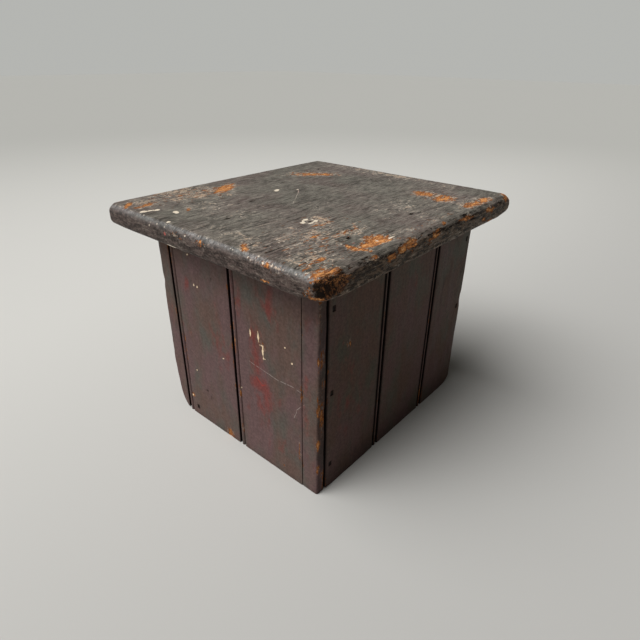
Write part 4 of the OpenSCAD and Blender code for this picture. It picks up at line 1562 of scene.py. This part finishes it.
@dataclass
class MatchBoard:
    """One upright match board, with its bead and tongue along one edge and its groove along the other.

    It is drawn flat first: s runs from the bead's edge, v goes in from the face, and z is up.
    """

    node: str
    side: Side
    finish: bpy.types.Material
    inner_finish: bpy.types.Material
    bead: bool
    groove: bool
    turned: bool = False
    free_edge: bool = False
    feet: tuple[WornFoot, ...] = ()
    nails: tuple[Nail, ...] = ()
    thickness: float = 8.0
    bead_w: float = 4.4
    quirk_w: float = 1.4
    tongue_out: float = 5.0
    tongue_depth: float = 3.2
    tongue_t: float = 2.4
    groove_in: float = 3.05
    groove_clear: float = 0.25
    arris_r: float = 2.0
    soft_r: float = 0.6
    step: float = 2.4

    def face_start(self) -> float:
        """Where the flat face starts, beyond the bead and its quirk."""
        return self.bead_w + self.quirk_w if self.bead else 0.0

    def frame_of_wall(self) -> tuple[Matrix, float]:
        """Where the flat drawing goes.

        Returns:
            The matrix from the drawing to the model, and the board's width without its tongue.
        """
        low, high = box_mm(self.node)
        runs = self.side.axis().value
        face, inward = {
            Side.FRONT: (low.y, Vector((0, 1, 0))),
            Side.RIGHT: (high.x, Vector((-1, 0, 0))),
            Side.LEFT: (low.x, Vector((1, 0, 0))),
            Side.BACK: (high.y, Vector((0, -1, 0))),
        }[self.side]
        tongue = self.tongue_out if self.bead else 0.0
        width = high[runs] - low[runs] - tongue
        from_high = self.turned != (self.side is Side.BACK)
        along = self.side.axis().vector() * (-1.0 if from_high else 1.0)
        origin = Vector((0.0, 0.0, low.z))
        origin[runs] = high[runs] - tongue if from_high else low[runs] + tongue
        origin[1 - runs] = face
        matrix = Matrix((along, inward, Vector((0, 0, 1)))).transposed().to_4x4()
        matrix.translation = origin
        return matrix, width

    def outline(self, width: float) -> list[tuple[float, float]]:
        """The board's section, seen from above.

        Args:
            width: The board's width without its tongue.

        Returns:
            Its corners as (s, v), going round once.
        """
        t, start, bead, inset = self.thickness, self.face_start(), self.bead_w, width - self.groove_in
        corners = [(start, 0.0), (width, 0.0)]
        front, back = self.tongue_depth, self.tongue_depth + self.tongue_t
        if self.groove:
            near, far = front - self.groove_clear, back + self.groove_clear
            corners += [(width, near), (inset, near), (inset, far), (width, far)]
        corners += [(width, t), (0.0, t)]
        if self.bead:
            corners += [(0.0, back), (-self.tongue_out, back), (-self.tongue_out, front), (0.0, front)]
            corners += [(0.0, 0.0), (bead, 0.0), (bead, bead / 2), (start, bead / 2)]
        return corners

    def blank(self) -> tuple[Workpiece, Matrix, float]:
        """The board as it was new, at its place in the model.

        Returns:
            The solid, its drawing's matrix and the board's width.
        """
        matrix, width = self.frame_of_wall()
        low, high = box_mm(self.node)
        mesh = bmesh.new()
        piece = Workpiece(mesh)
        mesh.faces.new([mesh.verts.new((s, v, 0.0)) for s, v in self.outline(width)])
        bead_corners = [v for v in self._front_corners(mesh) if self.bead and v.co.x < self.bead_w + TOUCH]
        piece.round_off(bead_corners, self.bead_w / 2, 7, "VERTICES")
        free = [v for v in self._front_corners(mesh) if self.free_edge and self._is_free(v.co.x, width)]
        piece.round_off(free, self.arris_r, 5, "VERTICES")
        ends = (self.face_start(), width)
        left = [v for v in self._front_corners(mesh) if any(abs(v.co.x - end) < TOUCH for end in ends)]
        piece.round_off(left, self.soft_r, 3, "VERTICES")
        bmesh.ops.remove_doubles(mesh, verts=mesh.verts[:], dist=0.02)
        for edge in [e for e in mesh.edges if e.calc_length() > 1.5 * self.step]:
            cuts = round(edge.calc_length() / self.step) - 1
            bmesh.ops.subdivide_edges(mesh, edges=[edge], cuts=cuts)
        self._raise(mesh, high.z - low.z)
        for foot in self.feet:
            self._wear_foot(piece, foot, matrix)
        bmesh.ops.transform(mesh, matrix=matrix, verts=mesh.verts[:])
        bmesh.ops.recalc_face_normals(mesh, faces=mesh.faces[:])
        for nail in self.nails:
            if nail.shown:
                piece.refine(self.nail_place(nail, matrix), (self.side.axis(), Axis.Z))
        return piece, matrix, width

    @staticmethod
    def _front_corners(mesh: bmesh.types.BMesh) -> list[bmesh.types.BMVert]:
        """The section's corners that lie on the board's face."""
        return [v for v in mesh.verts if v.co.y < TOUCH]

    def _is_free(self, s: float, width: float) -> bool:
        """Whether a corner of the section lies on the wall's free upright edge."""
        return s < TOUCH if self.groove else s > width - TOUCH

    def _raise(self, mesh: bmesh.types.BMesh, height: float) -> None:
        """Extrudes the section upwards in short steps.

        Args:
            mesh: The flat section.
            height: How high the board gets.
        """
        count = round(height / self.step)
        cap = mesh.faces[:]
        for _ in range(count):
            rim = list(dict.fromkeys(edge for face in cap for edge in face.edges))
            made = bmesh.ops.extrude_face_region(mesh, geom=cap + rim)["geom"]
            cap = [g for g in made if isinstance(g, bmesh.types.BMFace)]
            raised = [g for g in made if isinstance(g, bmesh.types.BMVert)]
            bmesh.ops.translate(mesh, vec=(0.0, 0.0, height / count), verts=raised)

    def _wear_foot(self, piece: Workpiece, foot: WornFoot, matrix: Matrix) -> None:
        """Cuts a worn corner with planes that follow its curve.

        Args:
            piece: The board, still at its drawing's place.
            foot: The worn corner.
            matrix: The drawing's matrix.
        """
        axis = self.side.axis().vector()
        origin = matrix.translation.dot(axis)
        slope = (matrix.to_3x3().inverted() @ axis).x
        for k in range(12):
            a = math.radians(90.0 * (k + 0.5) / 12)
            along = foot.along + foot.inward * foot.width * (1.0 - math.sin(a))
            height = foot.height * (1.0 - math.cos(a))
            lean = -foot.inward * slope * math.sin(a) / foot.width
            outward = Vector((lean, 0.0, -math.cos(a) / foot.height))
            piece.cut_off(Vector(((along - origin) * slope, 0.0, height)), outward.normalized())

    def nail_place(self, nail: Nail, matrix: Matrix) -> Triple:
        """The middle of a nail's hole.

        Args:
            nail: The nail.
            matrix: The drawing's matrix.

        Returns:
            The place on the wall's face.
        """
        place = matrix.translation.copy()
        place[self.side.axis().value] = nail.along
        place.z = nail.height
        return tuple(place)

    def weather(self, piece: Workpiece, matrix: Matrix, width: float) -> Weather:
        """Everything that age has done to the board, with painted shade towards the floor and painted shadow
        under the seat board.

        Args:
            piece: The new board.
            matrix: Its drawing's matrix.
            width: Its width without the tongue.

        Returns:
            The wear at each of its points.
        """
        w = piece.look_over()
        p, side = w.points, self.side
        flat = np.array(matrix.inverted())
        local = p @ flat[:3, :3].T + flat[:3, 3]
        s, v, z = local[:, 0], local[:, 1], p[:, 2]
        inward = np.array(matrix.col[1][:3])
        face = smooth_step(0.5, 0.95, -(w.normals @ inward)) * (v < 1.5)
        bumps = rough(p, (30.0, 30.0, 80.0), 2, 5.0)
        teeth = rough(p, (3.0, 3.0, 9.0), 3, 17.0)
        lumps = rough(p, (7.0, 7.0, 22.0), 3, 29.0)
        ridges = rough(p, (2.6, 2.6, 70.0), 2, 43.0)
        w.depth += face * (0.12 + 0.12 * bumps + 0.04 * (1.0 + ridges))
        to_edge = np.minimum(np.abs(s - self.face_start()), np.abs(width - s))
        edge = (1.0 - smooth_step(0.3, 2.2, to_edge)) * (v < 1.6)
        crest = (1.0 - smooth_step(0.2, 1.6, np.abs(s - self.bead_w / 2))) * (v < 1.2) * self.bead
        w.depth += (edge + 0.6 * crest) * 0.28 * np.maximum(teeth + 0.4 * lumps, 0.0)
        w.raise_mark(Wear.RUB, np.clip((edge + crest) * (0.45 + 0.5 * lumps), 0.0, 1.0))
        worn = (0.7 * edge + 0.8 * crest) * smooth_step(0.15, 0.55, lumps + 0.4 * teeth)
        w.raise_mark(Wear.BARE, 0.75 * np.clip(worn, 0.0, 0.9))
        w.raise_mark(Wear.GRIME_AND_SHADE, self._joint_grime(s, v, width))
        w.raise_mark(Wear.GRIME_AND_SHADE, JOINT_SMEAR[side] * np.exp(-np.maximum(to_edge, 0.0)) * (v < 1.0))
        w.raise_mark(Wear.GRIME_AND_SHADE, 0.30 * (1.0 - smooth_step(0.0, 9.0, z + 3.0 * lumps)))
        # Painted shade darkening the wall towards the floor, and painted shadow under the seat board's
        # overhang
        w.raise_mark(Wear.GRIME_AND_SHADE, PAINTED_FOOT_SHADE[side] * (1.0 - smooth_step(0.0, 52.0, z + 5.0 * lumps)))
        w.raise_mark(Wear.GRIME_AND_SHADE, PAINTED_SEAT_SHADOW[side] * smooth_step(150.0, 188.0, z + 6.0 * lumps))
        w.add_patches(Wear.BARE, WALL_BARE[side], 0.2 * teeth)
        w.add_patches(Wear.CREAM, WALL_CREAM[side], 0.12 * teeth)
        w.add_patches(Wear.TINT, WALL_RED[side], 0.15 * lumps)
        w.add_patches(Wear.GRIME_AND_SHADE, WALL_DARK_AND_SHADOW[side], 0.2 * teeth)
        if self.free_edge:
            self._wear_free_edge(w, s if self.groove else width - s, lumps, matrix)
        outer = smooth_step(self.thickness - 1.0, self.thickness - 3.0, v)
        low_edge = (1.0 - smooth_step(0.0, 2.6, z)) * outer
        w.shift[:, 2] += 0.2 * low_edge * np.maximum(lumps + 0.3, 0.0)
        for nail in self.nails:
            place = self.nail_place(nail, matrix)
            if nail.shown:
                w.sink_nail(place, side.axis().value, 2)
            else:
                away = np.linalg.norm((p - np.array(place)) / np.array((2.4, 2.4, 3.0)), axis=1)
                w.depth += 0.18 * (1.0 - smooth_step(0.3, 1.2, away))
        return w

    def _joint_grime(self, s: np.ndarray, v: np.ndarray, width: float) -> np.ndarray:
        """The soot in the quirk beside the bead and on the edges that face another board.

        Args:
            s: How far along the section each point lies.
            v: How far in from the face each point lies.
            width: The board's width without its tongue.

        Returns:
            The soot at each point.
        """
        soot, start = QUIRK_SOOT[self.side], self.face_start()
        inside = smooth_step(0.2, 0.7, v)
        dark = np.zeros(len(s))
        if self.bead:
            quirk = (s > 0.66 * self.bead_w) & (s < start + 0.5)
            dark = np.maximum(dark, soot * inside * quirk)
            dark = np.maximum(dark, smooth_step(1.0, 2.0, v) * (s < 0.5 * self.bead_w))
            flank = smooth_step(0.5 * self.bead_w, 0.85 * self.bead_w, s) * (s < start + 0.1)
            dark = np.maximum(dark, max(0.0, 5.0 * soot - 4.1) * flank)
        if self.groove or not self.free_edge:
            dark = np.maximum(dark, inside * (np.abs(width - s) < 0.9))
        if not self.bead and not (self.free_edge and self.groove):
            dark = np.maximum(dark, inside * (np.abs(s) < 0.9))
        return dark

    def _wear_free_edge(self, w: Weather, to_end: np.ndarray, lumps: np.ndarray, matrix: Matrix) -> None:
        """Makes a wall's free upright edge wavy, with rubbed and bare spots along it.

        Args:
            w: The board's wear, which this adds to.
            to_end: How far from the free edge each point lies.
            lumps: Noise at each point.
            matrix: The drawing's matrix.
        """
        z = w.points[:, 2]
        along = np.array(matrix.col[0][:3]) * (1.0 if self.groove else -1.0)
        near = 1.0 - smooth_step(0.0, 9.0, to_end)
        rows = [Vector((7.3, matrix.translation.x, h / 26.0)) for h in z]
        bite = 0.55 + 0.75 * np.array([noise.fractal(row, 1.0, 2.0, 3) for row in rows])
        if self.side is Side.FRONT and self.groove:
            bite += 1.9 * np.exp(-((z - 27.0) / 17.0) ** 2) + 1.3 * np.exp(-((z - 150.0) / 5.0) ** 2)
        w.shift += along * (near * np.clip(bite, 0.0, 3.0))[:, None]
        rim = 1.0 - smooth_step(0.2, 3.2, to_end)
        w.raise_mark(Wear.RUB, np.clip(rim * (0.48 + 0.5 * lumps), 0.0, 1.0))
        w.raise_mark(Wear.BARE, np.clip(rim * (0.26 + 0.5 * lumps), 0.0, 1.0))
        painted = 1.0 - smooth_step(0.3, 0.5, w.marks[Wear.BARE])
        narrow = 1.0 - smooth_step(0.2, 2.3, to_end)
        w.raise_mark(Wear.GRIME_AND_SHADE, painted * np.clip(0.36 * narrow - 0.4 * lumps, 0.0, 0.42))

    def build(self) -> bpy.types.Object:
        """Makes the board in place of its construction node.

        Returns:
            The worn board.
        """
        piece, matrix, width = self.blank()
        piece.wear_down(self.weather(piece, matrix, width))
        flat = matrix.inverted()

        def choose(face: bmesh.types.BMFace) -> int:
            """Bare wood on the face inside the box, and paint elsewhere."""
            return 1 if (flat @ face.calc_center_median()).y > self.thickness - 0.6 else 0

        return piece.finish(self.node, "_worn", "wall_paint", [self.finish, self.inner_finish], choose)


POST_ROWS = (26.0, 103.0, 180.0)
CLEAT_ROWS = (10.0, 196.0)
FRONT_NAILS = tuple(
    [Nail(x, z, shown=False) for x in (-89.5, 93.5) for z in (64.5, 141.5)]
    + [Nail(x, z, shown=(x, z) == (-65.9, 10.0)) for x in (-65.9, -14.1, 18.1, 70.7) for z in CLEAT_ROWS]
)
RIGHT_NAILS = tuple(
    [Nail(-101.0, z) for z in POST_ROWS]
    + [Nail(113.0, z, shown=z > POST_ROWS[0]) for z in POST_ROWS]
    + [Nail(y, z, shown=False) for y in (-44.3, -12.1, 39.7, 71.9) for z in CLEAT_ROWS]
)
LEFT_NAILS = tuple(
    [Nail(y, z) for y in (-101.0, 113.0) for z in POST_ROWS]
    + [Nail(y, z, shown=y in (-44.3, 71.9)) for y in (-44.3, -12.1, 39.7, 71.9) for z in CLEAT_ROWS]
)
BACK_NAILS = tuple(Nail(x, z) for x in (61.55, 27.9, -23.9, -57.55) for z in CLEAT_ROWS)


@dataclass
class Walls:
    """The four walls of match boards."""

    front: bpy.types.Material
    # The darker copy of the wall paint, painted shade, for the side and back walls
    plain: bpy.types.Material
    inner: bpy.types.Material

    def boards(self) -> list[MatchBoard]:
        """Every board, with its joints, worn corners and nails.

        Returns:
            The boards of the front, right, left and back walls.
        """
        left, right = box_mm("front_board_1")[0].x, box_mm("front_board_4")[1].x
        near, rear = box_mm("right_board_1")[0].y, box_mm("right_board_3")[1].y
        front_feet = (WornFoot(left, 1.0, 20.0, 60.0), WornFoot(right, -1.0, 28.0, 8.0))
        rear_foot = WornFoot(rear, -1.0, 20.0, 14.0)
        right_feet = (WornFoot(near, 1.0, 12.0, 2.0), rear_foot)
        left_feet = (WornFoot(near, 1.0, 20.0, 14.0), rear_foot)
        made = []
        for i in range(4):
            kind = {"bead": i in (1, 2), "groove": i < 3, "free_edge": i in (0, 3)}
            made.append(self._board(Side.FRONT, i, front_feet, FRONT_NAILS, **kind))
        for side, feet, nails in ((Side.RIGHT, right_feet, RIGHT_NAILS), (Side.LEFT, left_feet, LEFT_NAILS)):
            for i in range(3):
                kind = {"bead": i < 2, "groove": i > 0, "turned": True, "free_edge": i == 2}
                made.append(self._board(side, i, feet, nails, **kind))
        for i in range(3):
            made.append(self._board(Side.BACK, i, (), BACK_NAILS, bead=i > 0, groove=i < 2))
        return made

    def _board(
        self, side: Side, index: int, feet: tuple[WornFoot, ...], nails: tuple[Nail, ...], **kind: bool
    ) -> MatchBoard:
        """One board, with the worn corners and nails of its wall that reach it.

        Args:
            side: Its wall.
            index: Its number in the wall, from 0.
            feet: The wall's worn corners.
            nails: The wall's nails.
            **kind: Its edges.

        Returns:
            The board.
        """
        node = f"{side.value}_board_{index + 1}"
        low, high = (corner[side.axis().value] for corner in box_mm(node))
        worn = tuple(f for f in feet if self._reaches(f, low, high))
        through = tuple(n for n in nails if low + 5.0 < n.along < high)
        # The front takes the lighter paint; the others take its darker copy, painted shade
        finish = self.front if side is Side.FRONT else self.plain
        return MatchBoard(node, side, finish, self.inner, feet=worn, nails=through, **kind)

    @staticmethod
    def _reaches(foot: WornFoot, low: float, high: float) -> bool:
        """Whether a worn corner reaches into a board.

        Args:
            foot: The worn corner.
            low: Where the board starts along the wall.
            high: Where it ends.

        Returns:
            True if it takes wood from the board.
        """
        if foot.inward > 0.0:
            return low < foot.along + 0.98 * foot.width and foot.along - 1.0 < high
        return low < foot.along - 0.98 * foot.width and foot.along - 1.0 < high


@dataclass
class InnerStick:
    """A corner post or a cleat: a sawn stick with softened edges."""

    node: str
    finish: bpy.types.Material
    paint: bpy.types.Material | None = None
    soft_r: float = 0.8
    step: float = 5.0

    def build(self) -> bpy.types.Object:
        """Makes the stick in place of its construction node, painted on a face that shows behind.

        Returns:
            The stick.
        """
        low, high = box_mm(self.node)
        piece = Workpiece.block(low, high)
        piece.round_off(piece.mesh.edges[:], self.soft_r, 2)
        for axis in Axis:
            piece.grid(axis, low[axis.value], high[axis.value], self.step)
        w = piece.look_over()
        w.depth += 0.12 + 0.12 * rough(w.points, (14.0, 14.0, 14.0), 3, sum(low) / 50.0)
        if self.paint:
            w.raise_mark(Wear.GRIME_AND_SHADE, 0.35 * (1.0 - smooth_step(0.5, 4.0, w.points[:, 2] - low.z)))
        piece.wear_down(w)

        def choose(face: bmesh.types.BMFace) -> int:
            """Paint on the rear face, and bare wood elsewhere."""
            rear = face.normal.y > 0.5 and face.calc_center_median().y > high.y - 0.9
            return 1 if self.paint and rear else 0

        materials = [self.finish, self.paint or self.finish]
        return piece.finish(self.node, "_sawn", "inner_wood", materials, choose)


@dataclass
class InnerFrame:
    """The posts and cleats inside the box. The rear posts' outer faces show beside the back boards."""

    woods: dict[Axis, bpy.types.Material]
    paint: bpy.types.Material

    def sticks(self) -> list[InnerStick]:
        """Every post and cleat, each with its grain along its length.

        Returns:
            The sticks, posts first.
        """
        made = []
        for place, paint in (("front", None), ("rear", self.paint)):
            made += [InnerStick(f"post_{place}_{s}", self.woods[Axis.Z], paint) for s in ("left", "right")]
        for level in ("top", "bottom"):
            made += [InnerStick(f"{level}_cleat_{s}", self.woods[Axis.X]) for s in ("front", "back")]
            made += [InnerStick(f"{level}_cleat_{s}", self.woods[Axis.Y]) for s in ("left", "right")]
        return made


@dataclass
class Nails:
    """The five groups of cut nails, which stay as constructed and get their rust."""

    finish: bpy.types.Material

    def dress(self) -> None:
        """Gives each group the iron finish."""
        for part in ("seat", "front_wall", "right_wall", "left_wall", "back_wall"):
            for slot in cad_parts[part + "_nails"].material_slots:
                slot.material = self.finish
            LOG.info("%s_nails: rusted", part)


@dataclass(frozen=True)
class SoftLamp:
    """A broad, even light from one direction, in degrees."""

    name: str
    turn: float
    lift: float
    width: float
    strength: float
    color: Triple = (1.0, 0.985, 0.96)

    def hang(self) -> None:
        """Adds the light to the scene."""
        light = bpy.data.lights.new(self.name, "SUN")
        light.energy = self.strength
        light.angle = math.radians(self.width)
        light.color = self.color
        turn, lift = math.radians(self.turn), math.radians(self.lift)
        away = Vector((math.cos(turn) * math.cos(lift), math.sin(turn) * math.cos(lift), math.sin(lift)))
        made = bpy.data.objects.new(self.name, light)
        made.location = 2.0 * away
        made.rotation_euler = (-away).to_track_quat("-Z", "Y").to_euler()
        bpy.context.scene.collection.objects.link(made)


@dataclass
class Studio:
    """The pale floor, the soft lights and the camera."""

    floor_half: float = 9.0
    # A painted fall of light across the floor: brighter on the left, dimmer on the right
    floor_painted_bright_left: Triple = (0.72, 0.72, 0.70)
    floor_painted_dim_right: Triple = (0.53, 0.53, 0.52)
    floor_far: Triple = (0.50, 0.505, 0.487)
    far_tone: Triple = (0.46, 0.465, 0.445)
    fill_tone: Triple = (0.062, 0.060, 0.054)
    lamps: tuple[SoftLamp, ...] = (
        SoftLamp("key", turn=-120.5, lift=59.0, width=50.0, strength=2.65),
        SoftLamp("front_fill", turn=-114.0, lift=28.0, width=50.0, strength=1.0),
    )
    eye: Triple = (0.30733, -0.35445, 0.34494)
    look_at: Triple = (0.0229, -0.0229, 0.110)
    roll: float = 0.746
    focal_px: float = 493.0
    image_px: float = 640.0
    sensor_mm: float = 36.0

    def floor(self) -> None:
        """Lays a pale floor, with a painted fall of light from the left to the right, turning to one tone
        far away.
        """
        mesh = bmesh.new()
        bmesh.ops.create_grid(mesh, x_segments=1, y_segments=1, size=self.floor_half)
        data = bpy.data.meshes.new("floor")
        mesh.to_mesh(data)
        mesh.free()
        material, bench, shader = new_material("pale_floor")
        place = bench.place()
        # Painted light: the floor's tone falls from left to right
        to_right = bench.ramp(bench.along(place, Axis.X), -0.45, 0.35)
        tone = bench.mix(to_right, self.floor_painted_bright_left, self.floor_painted_dim_right)
        away = bench.ramp(bench.measure("LENGTH", place), 0.4, 2.4)
        bench.feed(shader.inputs["Base Color"], bench.mix(away, tone, self.floor_far))
        shader.inputs["Roughness"].default_value = 1.0
        shader.inputs["Specular IOR Level"].default_value = 0.0
        data.materials.append(material)
        made = bpy.data.objects.new("floor", data)
        bpy.context.scene.collection.objects.link(made)

    def world(self) -> None:
        """Sets a pale surround where it is seen or reflected, and a dim one as light."""
        world = bpy.data.worlds.new("studio")
        bpy.context.scene.world = world
        world.use_nodes = True
        bench = Bench(world.node_tree)
        background = world.node_tree.nodes["Background"]
        path = bench.node("LightPath").outputs
        seen = bench.larger(path["Is Camera Ray"], path["Is Glossy Ray"])
        seen = bench.larger(seen, path["Is Transmission Ray"])
        bench.feed(background.inputs["Color"], bench.mix(seen, self.fill_tone, self.far_tone))

    def camera(self) -> None:
        """Sets the camera at the photograph's angle, with its field of view."""
        data = bpy.data.cameras.new("camera")
        data.sensor_width = self.sensor_mm
        data.lens = self.focal_px / self.image_px * self.sensor_mm
        data.clip_start = 0.01
        made = bpy.data.objects.new("camera", data)
        made.location = self.eye
        turn = (Vector(self.look_at) - Vector(self.eye)).to_track_quat("-Z", "Y")
        turn = turn @ Quaternion((0.0, 0.0, 1.0), math.radians(self.roll))
        made.rotation_euler = turn.to_euler()
        bpy.context.scene.collection.objects.link(made)
        bpy.context.scene.camera = made

    def build(self) -> None:
        """Sets the whole studio."""
        self.floor()
        self.world()
        for lamp in self.lamps:
            lamp.hang()
        self.camera()
        bpy.context.scene.view_settings.view_transform = "Standard"


def report(piece: bpy.types.Object) -> None:
    """Logs a piece's name and its number of faces, and fixes it to the body."""
    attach(piece, "root")
    LOG.info("%s: %d faces", piece.name, len(piece.data.polygons))


def main() -> None:
    """Builds the studio and every piece of the stool, in order."""
    logging.basicConfig(level=logging.INFO, format="%(name)s: %(message)s")
    Studio().build()
    effects = Effects()
    woods = {axis: InnerWood(effects, axis).build() for axis in Axis}
    report(SeatBoard(SeatPaint(effects, SEAT_SCRATCHES).build(), woods[Axis.Y]).build())
    front = WallPaint(effects, FRONT_SCRATCHES, name="front_wall_paint").build()
    # A darker copy of the wall paint, painted shade, for the side and back walls and the rear posts
    plain = WallPaint(
        effects, name="side_wall_paint_shaded",
        brown=(0.100, 0.061, 0.047), olive=(0.076, 0.068, 0.051), purple=(0.106, 0.063, 0.057),
    ).build()
    for board in Walls(front, plain, woods[Axis.Z]).boards():
        report(board.build())
    for stick in InnerFrame(woods, plain).sticks():
        report(stick.build())
    Nails(NailIron(effects).build()).dress()


if __name__ == "__main__":
    main()
